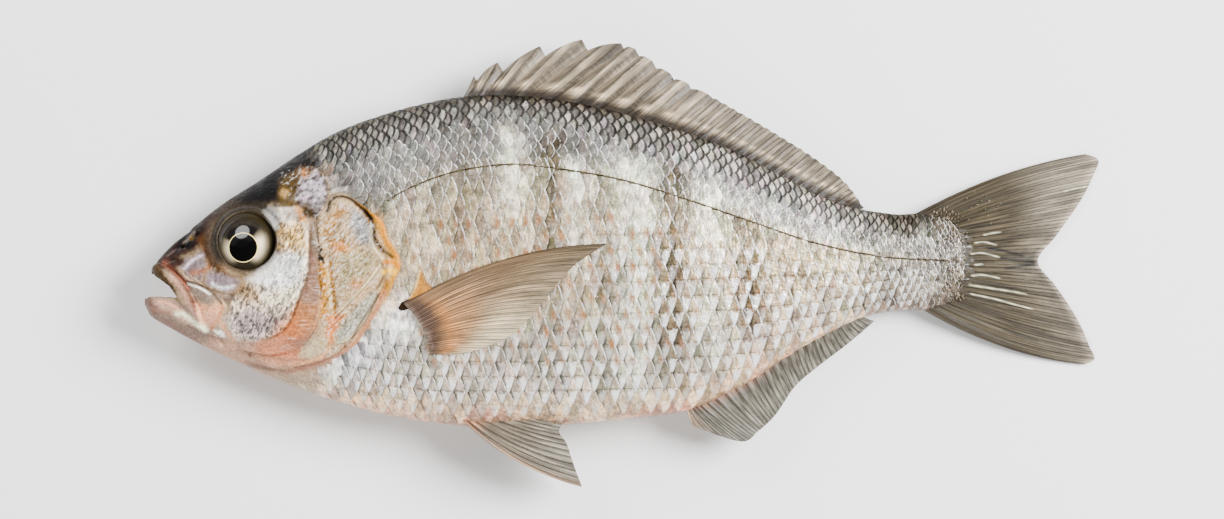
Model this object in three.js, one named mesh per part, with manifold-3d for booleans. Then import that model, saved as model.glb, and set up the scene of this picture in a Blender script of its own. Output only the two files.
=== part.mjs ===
// A whole raw fish, deep-bodied and silver, lying on its right side as on a board.
// Head towards -X, back towards +Y, left flank up (+Z). Millimetres.
// The body, gill covers and fins are one solid. The eyeballs are solids of their own, set in their sockets.
//
// Shapes are drawn on the fish seen from its left, in hundredths of its length: [behind the jaw tip, above the axis].
// A third value, across, is in millimetres from the fish's mid-plane, positive towards the left flank.

import * as THREE from "three";
import { mergeVertices } from "three/addons/utils/BufferGeometryUtils.js";
import Module from "manifold-3d";

const wasm = await Module();
wasm.setup();

// ---- Driving dimensions

const LENGTH = 250; // jaw tip to the tips of the tail
const HALF_THICKNESS = 17; // mid-plane to flank at the thickest place
const REST_HEIGHT = 14.8; // mid-plane above the board, the flank pressed flat below it
const TAIL_TIP_HEIGHT = 0.9; // mid-plane above the board at the end of the tail
const PRESS = 1.2; // how gently the pressed flank curves up from the board
const SOCKET_GAP = 0.3; // between an eyeball and its socket

const UNIT = LENGTH / 100;
const AXIS_DROP = -0.1; // middle of the whole outline's height, from the body axis
const BODY_END = 87; // where the flesh ends inside the tail fin
const STATIONS = 48; // sections along the body
const SIDE_STEPS = 12; // steps from belly to back on each side of a section

// ---- Curves

// Smooth function through [x, y] points, x rising.
function profile(points) {
  const slope = points.map((p, i) => {
    const before = points[Math.max(i - 1, 0)];
    const after = points[Math.min(i + 1, points.length - 1)];
    return (after[1] - before[1]) / (after[0] - before[0]);
  });
  return (x) => {
    let i = 0;
    while (i < points.length - 2 && x > points[i + 1][0]) i++;
    const [x0, y0] = points[i];
    const [x1, y1] = points[i + 1];
    const width = x1 - x0;
    const t = THREE.MathUtils.clamp((x - x0) / width, 0, 1);
    const s = 1 - t;
    return (
      y0 * (1 + 2 * t) * s * s +
      y1 * (1 + 2 * s) * t * t +
      width * t * s * (slope[i] * s - slope[i + 1] * t)
    );
  };
}

// Smooth route through [along, above] points, as a function of 0 to 1.
function route(points) {
  const curve = new THREE.SplineCurve(points.map((p) => new THREE.Vector2(...p)));
  return (u) => curve.getPoint(u).toArray();
}

const mix = THREE.MathUtils.lerp;
const ease = (t) => THREE.MathUtils.smoothstep(t, 0, 1);

// ---- Body form

const back = profile([
  [0, -3.3], [0.8, -0.8], [2.1, 1.0], [4.2, 2.9], [7.9, 5.9], [12.1, 8.6], [16.3, 11.4], [20.4, 13.7],
  [26.7, 15.9], [33, 17.2], [40, 17.3], [48, 16.0], [56, 13.7], [62, 11.4], [68, 8.3], [73, 6.0],
  [78.4, 5.0], [82, 5.0], [BODY_END, 3.6],
]);
const belly = profile([
  [0, -4.5], [0.6, -5.6], [2.1, -6.6], [5.8, -8.6], [10, -10.6], [14.2, -12.5], [20.4, -14.6], [26.7, -16.2],
  [34, -17.1], [42, -17.0], [50, -16.4], [57, -15.4], [62.5, -12.9], [68.8, -8.9], [74.8, -5.9], [79, -5.0],
  [82, -5.0], [BODY_END, -3.4],
]);
// Half of the body's thickness, as a share of HALF_THICKNESS.
const girth = profile([
  [0, 0.05], [0.8, 0.17], [3, 0.29], [6, 0.42], [10, 0.58], [16, 0.8], [22, 0.93], [30, 0.99], [38, 1],
  [46, 0.95], [54, 0.85], [62, 0.69], [70, 0.49], [78, 0.3], [83, 0.17], [BODY_END, 0.03],
]);
const WIDEST_AT = 0.52; // share of a section's height where it is thickest

// Distance in millimetres from the mid-plane to the skin.
function halfWidth(along, above) {
  const low = belly(along);
  const high = back(along);
  const widest = mix(low, high, WIDEST_AT);
  const reach = above > widest ? high - widest : widest - low;
  const share = Math.min(Math.abs(above - widest) / reach, 1);
  return HALF_THICKNESS * girth(along) * Math.pow(1 - Math.pow(share, 2.2), 0.62);
}

// Height of the fish's mid-plane above the board: level at the head and trunk, the tail let down on to the board.
function midHeight(along) {
  return mix(REST_HEIGHT, TAIL_TIP_HEIGHT, ease((along - 50) / 50));
}

// A point of the drawn fish, laid down on the board.
function laid(along, above, across) {
  const z = midHeight(along) + across;
  const pressed = z < -PRESS ? 0 : z < PRESS ? (z + PRESS) ** 2 / (4 * PRESS) : z;
  return [(along - 50) * UNIT, (above - AXIS_DROP) * UNIT, pressed];
}

// ---- Solids

// Closed surface from points and faces as a manifold solid, turned to face out.
function solid(points, faces) {
  const loose = new THREE.BufferGeometry();
  loose.setAttribute("position", new THREE.Float32BufferAttribute(points.flat(), 3));
  loose.setIndex(faces.flat());
  const merged = mergeVertices(loose, 1e-4);
  const position = merged.attributes.position;
  const index = Array.from(merged.index.array);
  const [p, q, r] = [0, 1, 2].map(() => new THREE.Vector3());
  const kept = [];
  let volume = 0;
  for (let i = 0; i < index.length; i += 3) {
    const [a, b, c] = index.slice(i, i + 3);
    if (a === b || b === c || c === a) continue;
    kept.push([a, b, c]);
    volume += p.fromBufferAttribute(position, a).dot(
      q.fromBufferAttribute(position, b).cross(r.fromBufferAttribute(position, c)));
  }
  const triVerts = new Uint32Array((volume < 0 ? kept.map(([a, b, c]) => [a, c, b]) : kept).flat());
  return new wasm.Manifold(new wasm.Mesh({ numProp: 3, vertProperties: position.array, triVerts }));
}

const joined = (solids) => solids.reduce((whole, next) => whole.add(next));

// Body of stations and rings. raise(along, above) adds millimetres to the skin.
function bodySolid(raise = () => 0) {
  const points = [];
  const faces = [];
  const around = 2 * SIDE_STEPS;
  for (let i = 0; i <= STATIONS; i++) {
    const along = BODY_END * Math.pow(i / STATIONS, 1.35);
    const low = belly(along);
    const high = back(along);
    const widest = mix(low, high, WIDEST_AT);
    for (let k = 0; k < around; k++) {
      const turn = (Math.PI * k) / SIDE_STEPS;
      const lift = -Math.cos(turn);
      const above = lift > 0 ? mix(widest, high, lift) : mix(widest, low, -lift);
      const side = Math.sign(Math.round(Math.sin(turn) * 1e6));
      points.push(laid(along, above, side * (halfWidth(along, above) + (side && raise(along, above)))));
      if (i === STATIONS) continue;
      const next = (k + 1) % around;
      const [a, b, c, d] = [i * around + k, i * around + next, (i + 1) * around + next, (i + 1) * around + k];
      faces.push([a, b, c], [a, c, d]);
    }
  }
  const tail = STATIONS * around;
  for (let k = 1; k < around - 1; k++) {
    faces.push([0, k + 1, k], [tail, tail + k, tail + k + 1]);
  }
  return solid(points, faces);
}

// Drawn circle with its radius in millimetres.
function circle([along, above], radius, sides = 32) {
  return Array.from({ length: sides }, (_, i) => {
    const turn = (2 * Math.PI * i) / sides;
    return [along + (radius / UNIT) * Math.cos(turn), above + (radius / UNIT) * Math.sin(turn)];
  });
}

// Upright block over a drawn outline, from under the fish to above it.
function blockOver(outline, low = -60, high = 60) {
  const shape = new THREE.Shape(outline.map(([along, above]) => new THREE.Vector2(...laid(along, above, 0))));
  const geometry = new THREE.ExtrudeGeometry(shape, { depth: high - low, bevelEnabled: false });
  geometry.translate(0, 0, low);
  geometry.deleteAttribute("normal");
  geometry.deleteAttribute("uv");
  const merged = mergeVertices(geometry, 1e-4);
  const position = merged.attributes.position;
  const points = Array.from({ length: position.count }, (_, i) => [position.getX(i), position.getY(i), position.getZ(i)]);
  const faces = Array.from({ length: merged.index.count / 3 }, (_, i) => Array.from(merged.index.array.slice(3 * i, 3 * i + 3)));
  return solid(points, faces);
}

// Ellipsoid at a drawn place, with its radii in millimetres, turned about X, Y and Z, mirrored for the right side.
function eggSolid([along, above, across], radii, turns = [0, 0, 0], rings = 10) {
  const geometry = new THREE.SphereGeometry(1, 2 * rings, rings);
  geometry.rotateX(Math.PI / 2);
  geometry.scale(...radii);
  geometry.rotateX(turns[0]);
  geometry.rotateY(turns[1]);
  geometry.rotateZ(turns[2]);
  geometry.scale(1, 1, across < 0 ? -1 : 1);
  geometry.translate(...laid(along, above, across));
  geometry.deleteAttribute("normal");
  geometry.deleteAttribute("uv");
  const merged = mergeVertices(geometry, 1e-4);
  const position = merged.attributes.position;
  const points = Array.from({ length: position.count }, (_, i) => [position.getX(i), position.getY(i), position.getZ(i)]);
  const faces = Array.from({ length: merged.index.count / 3 }, (_, i) => Array.from(merged.index.array.slice(3 * i, 3 * i + 3)));
  return solid(points, faces);
}

// Thin fin from columns of points [along, above, across, half thickness], each column root to edge.
function finSolid(columns) {
  const rows = columns[0].length;
  const points = [];
  const faces = [];
  const at = (i, j, face) => 2 * (i * rows + j) + face;
  columns.forEach((column, i) =>
    column.forEach(([along, above, across, half], j) => {
      points.push(laid(along, above, across + half), laid(along, above, across - half));
      if (i === 0 || j === 0) return;
      for (const face of [0, 1]) {
        const quad = [at(i - 1, j - 1, face), at(i, j - 1, face), at(i, j, face), at(i - 1, j, face)];
        const [a, b, c, d] = face ? quad.reverse() : quad;
        faces.push(...(face ? [[a, b, d], [b, c, d]] : [[a, b, c], [a, c, d]]));
      }
    }),
  );
  const wall = (i0, j0, i1, j1) =>
    faces.push([at(i0, j0, 0), at(i1, j1, 1), at(i0, j0, 1)], [at(i0, j0, 0), at(i1, j1, 0), at(i1, j1, 1)]);
  const last = columns.length - 1;
  for (let i = 0; i < last; i++) {
    wall(i + 1, 0, i, 0);
    wall(i, rows - 1, i + 1, rows - 1);
  }
  for (let j = 0; j < rows - 1; j++) {
    wall(0, j, 0, j + 1);
    wall(last, j + 1, last, j);
  }
  return solid(points, faces);
}

// Column of a fin from root to edge, bowed sideways, drooping towards the board, thinning to the edge.
function ray(root, edge, { steps, bow = [0, 0], droop = 0, start = 0, half, tip }) {
  return Array.from({ length: steps + 1 }, (_, j) => {
    const t = j / steps;
    const arch = 4 * t * (1 - t);
    return [
      mix(root[0], edge[0], t) + bow[0] * arch,
      mix(root[1], edge[1], t) + bow[1] * arch,
      start - droop * t * t,
      mix(half, tip, t),
    ];
  });
}

const RAY_HALF = 0.75; // half thickness of a fin at the root of a ray
const WEB_HALF = 0.4; // and of the skin between two rays
const EDGE_HALF = 0.3; // and at the edge

// Fan of rays with webs between them: even columns are rays, odd ones webs.
function fanSolid(root, edge, rays, bow, settings) {
  const columns = 2 * rays - 2;
  return finSolid(
    Array.from({ length: columns + 1 }, (_, i) => {
      const u = i / columns;
      return ray(root(u), edge(u), {
        ...settings,
        bow: bow(u),
        half: i % 2 ? WEB_HALF : RAY_HALF,
        tip: EDGE_HALF,
      });
    }),
  );
}

// ---- Dorsal fin

const DORSAL_SPINES = [ // root and tip of each spine
  [[32.9, 16.6], [34.4, 19.5]],
  [[34.4, 16.7], [36.9, 20.9]],
  [[36.2, 16.8], [41.3, 22.6]],
  [[38.4, 16.8], [45.7, 23.3]],
  [[41.4, 16.6], [49.8, 22.9]],
  [[44.2, 16.2], [51.3, 22.3]],
  [[46.6, 15.8], [53.1, 21.0]],
  [[49.2, 15.2], [55.0, 19.7]],
  [[51.7, 14.5], [56.9, 18.6]],
  [[54.1, 13.7], [59.0, 17.5]],
];
const SOFT_ROOT = route([[56.5, 12.8], [62, 10.6], [68, 7.6], [73.5, 5.2]]);
const SOFT_EDGE = route([[61, 16.4], [66.5, 13.2], [70.7, 10.5], [73.4, 8.3], [75.3, 5.7]]);
const DORSAL_SOFT_RAYS = 14;
const WEB_NOTCH = [0.32, 0.26, 0.34, 0.3, 0.22, 0.16, 0.15, 0.14, 0.12]; // how far each web's edge lies below the next tip

function dorsalFin() {
  const settings = { steps: 3, droop: 3, tip: EDGE_HALF };
  const columns = [];
  DORSAL_SPINES.forEach(([root, tip], i) => {
    columns.push(ray(root, tip, { ...settings, half: RAY_HALF }));
    if (i === DORSAL_SPINES.length - 1) return;
    const [nextRoot, nextTip] = DORSAL_SPINES[i + 1];
    const notch = 1 - WEB_NOTCH[i];
    const edge = [mix(nextRoot[0], nextTip[0], notch) - 0.15, mix(nextRoot[1], nextTip[1], notch) + 0.1];
    const between = [mix(root[0], nextRoot[0], 0.5), mix(root[1], nextRoot[1], 0.5)];
    columns.push(ray(between, edge, { ...settings, half: WEB_HALF }));
  });
  const soft = 2 * DORSAL_SOFT_RAYS;
  for (let i = 1; i <= soft; i++) {
    columns.push(ray(SOFT_ROOT(i / soft), SOFT_EDGE(i / soft), { ...settings, half: i % 2 ? WEB_HALF : RAY_HALF }));
  }
  return finSolid(columns);
}

// ---- Tail, anal, pelvic and pectoral fins

const TAIL_ROOT = route([[79, 3.8], [82.5, 3.9], [84.5, 3], [85, 0.2], [84.5, -2.6], [83.2, -3.9], [80.5, -3.9]]);
const TAIL_EDGE = route([
  [100, 11.1], [99.6, 9.3], [98.9, 7.5], [97.9, 5.9], [96.7, 4.2], [95.3, 2.4], [93.6, 0.1],
  [95.2, -2.2], [96.6, -4.1], [97.8, -6], [98.8, -8.2], [99.4, -9.8], [99.7, -10.8],
]);
const TAIL_RAYS = 18;

function tailFin() {
  const bow = (u) => [0, u < 0.5 ? mix(1.1, 0, ease(3 * u)) : mix(0, -1.5, ease(3 * u - 2))];
  return fanSolid(TAIL_ROOT, TAIL_EDGE, TAIL_RAYS, bow, { steps: 4 });
}

const ANAL_ROOT = route([[56.4, -14.6], [58, -14.3], [62.8, -11.9], [67, -9], [71, -6.4], [74.5, -5.2]]);
const ANAL_EDGE = route([
  [57.4, -17.2], [62.3, -18.8], [64.2, -17.7], [66, -16], [68, -13.1], [70.4, -11], [73.7, -8.5], [76.4, -6.2],
]);
const ANAL_RAYS = 17;

function analFin() {
  return fanSolid(ANAL_ROOT, ANAL_EDGE, ANAL_RAYS, () => [-0.1, -0.1], { steps: 3, droop: 2 });
}

const PELVIC_ROOT = route([[32.6, -15.9], [34.4, -15.8], [37.6, -15.9]]);
const PELVIC_EDGE = route([[45.7, -23.5], [45.2, -22.2], [44.6, -20.5], [44.1, -19], [43.3, -17.8], [43.6, -17]]);
const PELVIC_RAYS = 7;
const PELVIC_APART = 3; // root of each pelvic fin from the mid-plane

function pelvicFin(side) {
  const bow = (u) => [mix(-0.6, 0, u), mix(-0.9, 0.1, u)];
  const settings = { steps: 4, start: side * PELVIC_APART, droop: -side * 1.5 };
  return fanSolid(PELVIC_ROOT, PELVIC_EDGE, PELVIC_RAYS, bow, settings);
}

const PECTORAL_ROOT = route([[27.2, -4.2], [28.6, -5.8], [29.6, -7.7], [29.9, -9.5]]);
const PECTORAL_EDGE = route([
  [48.4, 1.9], [47, 1.1], [45.1, -0.2], [43.4, -1.9], [41.9, -3.8], [40.3, -5.7], [38.3, -7.6], [35.4, -8.9], [32.4, -9.6],
]);
const PECTORAL_RAYS = 14;
const PECTORAL_PROUD = 1; // how far a ray stands out of the flank
const PECTORAL_SUNK = 4; // and how deep its solid reaches into the flank

function pectoralFin(side) {
  const steps = 5;
  const columns = 2 * PECTORAL_RAYS - 2;
  return finSolid(
    Array.from({ length: columns + 1 }, (_, i) => {
      const u = i / columns;
      const bow = [0, mix(1.5, 0, ease(u))];
      return ray(PECTORAL_ROOT(u), PECTORAL_EDGE(u), { steps, bow, half: 0, tip: 0 }).map(([along, above], j) => {
        const proud = PECTORAL_PROUD * (i % 2 ? 0.75 : 1) * mix(1.2, 0.8, j / steps);
        const outer = halfWidth(along, above) + proud;
        return [along, above, side * (outer - PECTORAL_SUNK / 2), PECTORAL_SUNK / 2];
      });
    }),
  );
}

// ---- Lateral line

const LATERAL_LINE = route([
  [25, 6], [27.3, 7.6], [31, 9], [34.4, 9.8], [38.6, 10.1], [43, 9.7], [49.5, 8.6],
  [56, 6.7], [62.6, 4.4], [70, 2], [77, 0.6], [84, 0.2],
]);
const LINE_STEPS = 30;
const LINE_HALF = 0.22; // half of the ridge's width, in hundredths
const LINE_PROUD = 0.35;

function lateralLine(side) {
  return finSolid(
    Array.from({ length: LINE_STEPS + 1 }, (_, i) => {
      const [along, middle] = LATERAL_LINE(i / LINE_STEPS);
      return [-1, 0, 1].map((j) => {
        const above = middle + j * LINE_HALF;
        const outer = halfWidth(along, above) + (j ? -0.1 : LINE_PROUD);
        return [along, above, side * (outer - 0.5), 0.5];
      });
    }),
  );
}

// ---- Head: gill covers, jaws, mouth, eyes and nostrils

const GILL_COVER = [ // outline of the gill cover and its skin flap
  [13, -2], [15, 4], [18.5, 7], [21, 6.9], [22.6, 6.6], [23.8, 5.8], [24.7, 4.2], [25.3, 2], [26.2, 0.8],
  [26.9, -0.2], [26.9, -0.9], [26.1, -2.3], [24.5, -4.3], [22.9, -6.7], [21.5, -8.3], [19.7, -9.7],
  [17.7, -10.9], [15.7, -11.3], [13.7, -10.9], [11, -9],
];
const CHEEK_PLATE = [ // outline of the cheek and the bone behind it
  [11, 0], [13, 4], [17.4, 4.6], [18.3, 1.4], [18.5, -2.3], [18.5, -5.3], [17.6, -8.6], [16, -9.9], [13, -9.9], [8, -8],
];
const UPPER_LIP = [ // outline of the lip band from the jaw tip down to the mouth's corner
  [0.5, -0.2], [2.2, -0.1], [3.1, -1.8], [4.6, -3.3], [5.5, -4.2], [6, -5.2], [6.2, -6.2], [5.8, -6.2],
  [5.1, -5.5], [4.2, -4.6], [3.4, -3.6], [2.6, -2.6], [1.2, -1.5], [0.4, -1.2],
];
const JAW_PLATE = [ // outline of the plate behind the lip
  [2.2, -0.2], [4.4, -1.4], [6.8, -2.9], [8.5, -4.4], [8.8, -5], [7.9, -6.3], [7.1, -7], [6.3, -6.6], [5.4, -3.8], [3.1, -1.7],
];
const MOUTH_GAP = [ // outline of the gap between the jaws
  [-2, -1.6], [0.7, -0.85], [1.1, -1.45], [1.9, -2], [2.6, -2.5], [3.05, -3.05], [3.35, -3.55], [3.4, -3.75],
  [2.5, -3.72], [1.7, -3.62], [0.5, -3.64], [0.1, -3.85], [-2, -3.9],
];
const EYE = [10.3, 1.8];
const EYE_RADII = [7.9, 7.9, 4.3];
const EYE_CENTRE = 7.5; // eyeball centre from the mid-plane
const EYE_TURNS = [-0.22, -0.25, 0]; // faces out, a little up and forwards
const EYE_RIM_RADIUS = 8.8;
const EYE_RIM_RISE = 0.6;
const NOSTRILS = [[4.9, 2.3], [5.7, 3]];

// How far a plate rises above the skin, growing from its front to its free edge.
const rising = (height, front, rear) => (along) => height * ease((along - front) / (rear - front));

function headPlates() {
  const gillCover = bodySolid(rising(1.5, 13, 25)).intersect(blockOver(GILL_COVER));
  const cheek = bodySolid(rising(1.4, 12, 17.5)).intersect(blockOver(CHEEK_PLATE));
  const lip = bodySolid((along) => mix(0.3, 0.9, ease(along / 4))).intersect(blockOver(UPPER_LIP));
  const jaw = bodySolid(rising(0.6, 1, 6)).intersect(blockOver(JAW_PLATE));
  return joined([gillCover, cheek, lip, jaw]);
}

function fishSolid() {
  const sides = [1, -1];
  const fins = [dorsalFin(), tailFin(), analFin(), ...sides.map(pelvicFin), ...sides.map(pectoralFin)];
  const lines = sides.map(lateralLine);
  const sockets = sides.map((side) =>
    eggSolid([...EYE, side * EYE_CENTRE], EYE_RADII.map((r) => r + SOCKET_GAP), EYE_TURNS),
  );
  const rims = bodySolid(() => EYE_RIM_RISE).intersect(blockOver(circle(EYE, EYE_RIM_RADIUS)));
  const throat = eggSolid([4.2, -4.6, 0], [7.5, 2.2, 3.8], [0, 0, -0.75], 7);
  const nostrils = sides.flatMap((side) =>
    NOSTRILS.map((place) => eggSolid([...place, side * halfWidth(...place)], [0.8, 0.6, 0.9], [0, 0, 0.6], 4)),
  );
  return joined([bodySolid(), headPlates(), rims, ...fins, ...lines]).subtract(
    joined([blockOver(MOUTH_GAP), throat, ...sockets, ...nostrils]),
  );
}

// ---- Scene graph

function meshOf(name, made, material) {
  const { vertProperties, triVerts } = made.getMesh();
  const geometry = new THREE.BufferGeometry();
  geometry.setAttribute("position", new THREE.Float32BufferAttribute(vertProperties, 3));
  geometry.setIndex(new THREE.Uint32BufferAttribute(triVerts, 1));
  geometry.computeVertexNormals();
  const mesh = new THREE.Mesh(geometry, material);
  mesh.name = name;
  return mesh;
}

const skin = new THREE.MeshStandardMaterial({ color: 0xb9b4aa, roughness: 0.32, metalness: 0.35 });
const eye = new THREE.MeshStandardMaterial({ color: 0x8f8c7c, roughness: 0.08, metalness: 0.2 });

const fish = new THREE.Group();
fish.add(
  meshOf("fish", fishSolid(), skin),
  meshOf("eye_left", eggSolid([...EYE, EYE_CENTRE], EYE_RADII, EYE_TURNS), eye),
  meshOf("eye_right", eggSolid([...EYE, -EYE_CENTRE], EYE_RADII, EYE_TURNS), eye),
);

export default fish;
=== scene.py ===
"""A whole raw silver fish lying on its right side: skin, scales, gill covers, jaws, fins and eyes."""

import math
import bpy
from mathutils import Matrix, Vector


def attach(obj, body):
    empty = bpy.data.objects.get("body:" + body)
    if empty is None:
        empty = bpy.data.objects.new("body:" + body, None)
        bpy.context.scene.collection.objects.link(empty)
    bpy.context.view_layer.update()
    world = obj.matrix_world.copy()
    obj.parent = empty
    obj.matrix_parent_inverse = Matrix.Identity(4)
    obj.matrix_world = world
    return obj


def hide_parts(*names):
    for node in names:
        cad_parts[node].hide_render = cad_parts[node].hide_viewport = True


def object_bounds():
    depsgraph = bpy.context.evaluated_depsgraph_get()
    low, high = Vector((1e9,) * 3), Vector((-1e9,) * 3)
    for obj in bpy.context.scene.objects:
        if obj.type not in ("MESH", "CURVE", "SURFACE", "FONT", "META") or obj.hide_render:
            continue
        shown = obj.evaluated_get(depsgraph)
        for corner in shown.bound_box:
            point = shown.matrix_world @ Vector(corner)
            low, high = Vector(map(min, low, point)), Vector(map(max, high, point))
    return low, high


bl_info = {
    "name": "Whole raw fish",
    "version": (1, 0, 0),
    "blender": (4, 5, 0),
    "location": "3D View > Sidebar > Fish",
    "description": "Builds a scaled silver fish over its packed solids",
    "category": "Add Mesh",
}

import bpy
import numpy as np
from bpy.props import FloatProperty, FloatVectorProperty, PointerProperty
from mathutils import Euler, Vector

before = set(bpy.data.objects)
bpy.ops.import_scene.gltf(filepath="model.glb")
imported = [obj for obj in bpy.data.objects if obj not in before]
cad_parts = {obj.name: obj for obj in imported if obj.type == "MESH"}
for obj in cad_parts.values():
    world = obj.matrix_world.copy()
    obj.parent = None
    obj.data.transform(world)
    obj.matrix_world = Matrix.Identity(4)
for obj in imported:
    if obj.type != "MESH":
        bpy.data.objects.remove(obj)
CAD_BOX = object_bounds()

# ---- Units
# Outlines are drawn on the fish seen from its left, in hundredths of its length: [behind the jaw tip,
# above the axis]. Markings are drawn on a finer sheet, in steps of about a quarter millimetre, and go
# through sheet() first.

MM = 0.001
LENGTH = (CAD_BOX[1].x - CAD_BOX[0].x) / MM
UNIT = LENGTH / 100
HALF_THICKNESS = 17
REST_HEIGHT = 14.8
TAIL_TIP_HEIGHT = 0.9
PRESS = 1.2
SKIN_CLEAR = 0.45  # skin above the board where the flank is pressed flat, which the scales fill
AXIS_DROP = -0.1
BODY_END = 87
WIDEST_AT = 0.52
EDGE_TURN = math.pi / 2 - 0.02
PRESS_FROM = 0.3  # what lies lower than this is pressed against the board
FULLNESS, ROUNDNESS = 2.2, 0.62  # powers that shape a section between its widest place and its ends
FINE = 9.56  # steps of the finer sheet in a hundredth of the length
SHEET_START, SHEET_AXIS = 145, 262  # the jaw tip's column and the axis's row on it
SIDES = ((1, "left"), (-1, "right"))


def profile(points):
    """Smooth function through [x, y] points, x rising."""
    x, y = np.array(points, float).T
    slope = np.empty_like(y)
    slope[1:-1] = (y[2:] - y[:-2]) / (x[2:] - x[:-2])
    slope[0] = (y[1] - y[0]) / (x[1] - x[0])
    slope[-1] = (y[-1] - y[-2]) / (x[-1] - x[-2])

    def value(at):
        at = np.asarray(at, float)
        i = np.clip(np.searchsorted(x[1:], at), 0, len(x) - 2)
        width = x[i + 1] - x[i]
        t = np.clip((at - x[i]) / width, 0, 1)
        s = 1 - t
        return (
            y[i] * (1 + 2 * t) * s * s
            + y[i + 1] * (1 + 2 * s) * t * t
            + width * t * s * (slope[i] * s - slope[i + 1] * t)
        )

    return value


def route(points, even=False):
    """Smooth route through points, as a function of 0 to 1; even spaces it by length."""
    p = np.array(points, float)
    n = len(p)

    def place(u):
        at = np.clip(np.asarray(u, float), 0, 1) * (n - 1)
        i = np.minimum(at.astype(int), n - 2)
        t = (at - i)[..., None]
        p0, p1, p2, p3 = p[np.maximum(i - 1, 0)], p[i], p[i + 1], p[np.minimum(i + 2, n - 1)]
        v0, v1 = (p2 - p0) / 2, (p3 - p1) / 2
        return (2 * p1 - 2 * p2 + v0 + v1) * t**3 + (3 * p2 - 3 * p1 - 2 * v0 - v1) * t**2 + v0 * t + p1

    if not even:
        return place
    u = np.linspace(0, 1, 40 * n)
    gone = np.concatenate([[0], np.cumsum(np.linalg.norm(np.diff(place(u), axis=0), axis=1))])
    return lambda share: place(np.interp(share, gone / gone[-1], u))


def sheet(points):
    """Points of the finer sheet, as hundredths of the length."""
    p = np.array(points, float)
    return np.stack([p[..., 0] - SHEET_START, SHEET_AXIS - p[..., 1]], -1) / FINE


def mix(a, b, t):
    return a + (b - a) * t


def hump(x, middle, width, power=2):
    """1 at the middle, falling off over a width."""
    return np.exp(-(((x - middle) / width) ** power))


def ease(t):
    t = np.clip(t, 0, 1)
    return t * t * (3 - 2 * t)


def between(x, low, high):
    """0 below low, 1 above high, eased."""
    return ease((np.asarray(x, float) - low) / (high - low))


# ---- Body form

back = profile([
    [0, -3.3], [0.8, -0.8], [2.1, 1.0], [4.2, 2.9], [7.9, 5.9], [12.1, 8.6], [16.3, 11.4], [20.4, 13.7],
    [26.7, 15.9], [33, 17.2], [40, 17.3], [48, 16.0], [56, 13.7], [62, 11.4], [68, 8.3], [73, 6.0],
    [78.4, 5.0], [82, 5.0], [BODY_END, 3.6],
])
belly = profile([
    [0, -4.5], [0.6, -5.6], [2.1, -6.6], [5.8, -8.6], [10, -10.6], [14.2, -12.5], [20.4, -14.6],
    [26.7, -16.2],
    [34, -17.1], [42, -17.0], [50, -16.4], [57, -15.4], [62.5, -12.9], [68.8, -8.9], [74.8, -5.9], [79, -5.0],
    [82, -5.0], [BODY_END, -3.4],
])
girth = profile([
    [0, 0.05], [0.8, 0.17], [3, 0.29], [6, 0.42], [10, 0.58], [16, 0.8], [22, 0.93], [30, 0.99], [38, 1],
    [46, 0.95], [54, 0.85], [62, 0.69], [70, 0.49], [78, 0.3], [83, 0.17], [BODY_END, 0.03],
])
line = profile([
    [10, 2], [18, 4.2], [24.6, 5.9], [27.3, 7.4], [31, 8.9], [34.4, 9.7], [38.7, 10.1], [42.9, 9.7],
    [49.8, 8.5],
    [56.2, 6.6], [62.7, 4.4], [70.1, 1.95], [76.9, 0.6], [83.1, 0.2], [90, 0],
])


def mid_height(along):
    return mix(REST_HEIGHT, TAIL_TIP_HEIGHT, ease((along - 50) / 50))


def laid(along, above, across):
    """A drawn point laid down on the board, in millimetres."""
    z = mid_height(along) + across - SKIN_CLEAR
    pressed = np.where(z < -PRESS, 0, np.where(z < PRESS, (z + PRESS) ** 2 / (4 * PRESS), z)) + SKIN_CLEAR
    return np.stack(np.broadcast_arrays((along - 50) * UNIT, (above - AXIS_DROP) * UNIT, pressed), -1)


def round_section(along, turn):
    """Height and half thickness of the body, turn running from the belly at -90 degrees to the back at 90."""
    low, high = belly(along), back(along)
    widest = mix(low, high, WIDEST_AT)
    lift = np.sin(turn)
    above = widest + np.where(lift > 0, high - widest, widest - low) * lift
    return above, HALF_THICKNESS * girth(along) * (1 - np.clip(abs(lift), 0, 1) ** FULLNESS) ** ROUNDNESS


def section(along, turn, side):
    """A point of the skin."""
    above, across = round_section(along, turn)
    return laid(along, above, side * across)


def skin(along, turn, side, lift=0.0):
    """Points lifted off the skin along its normal."""
    along, turn = np.broadcast_arrays(np.asarray(along, float), np.asarray(turn, float))
    near = np.clip(turn, -EDGE_TURN, EDGE_TURN)
    step = 0.01
    ahead = section(along + step, near, side) - section(np.maximum(along - step, 0), near, side)
    up = section(along, near + step, side) - section(along, near - step, side)
    normal = np.cross(ahead, up) * side
    normal /= np.linalg.norm(normal, axis=-1, keepdims=True)
    points = section(along, turn, side) + normal * np.asarray(lift, float)[..., None]
    flat = PRESS_FROM * np.exp(np.minimum(points[..., 2] / PRESS_FROM - 1, 0))
    points[..., 2] = np.maximum(points[..., 2], flat)
    return points


def turn_at(along, above):
    low, high = belly(along), back(along)
    widest = mix(low, high, WIDEST_AT)
    reach = np.where(above > widest, high - widest, widest - low)
    return np.arcsin(np.clip((above - widest) / reach, -1, 1))


def on_skin(drawn, side, lift=0.0):
    """Drawn points put on the skin."""
    along, above = drawn[..., 0], drawn[..., 1]
    return skin(along, turn_at(along, above), side, lift)


def drawn_of(points):
    """Drawn place of finished points in metres."""
    return points[:, 0] / MM / UNIT + 50, points[:, 1] / MM / UNIT + AXIS_DROP


# ---- Drawing on the skin


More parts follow.
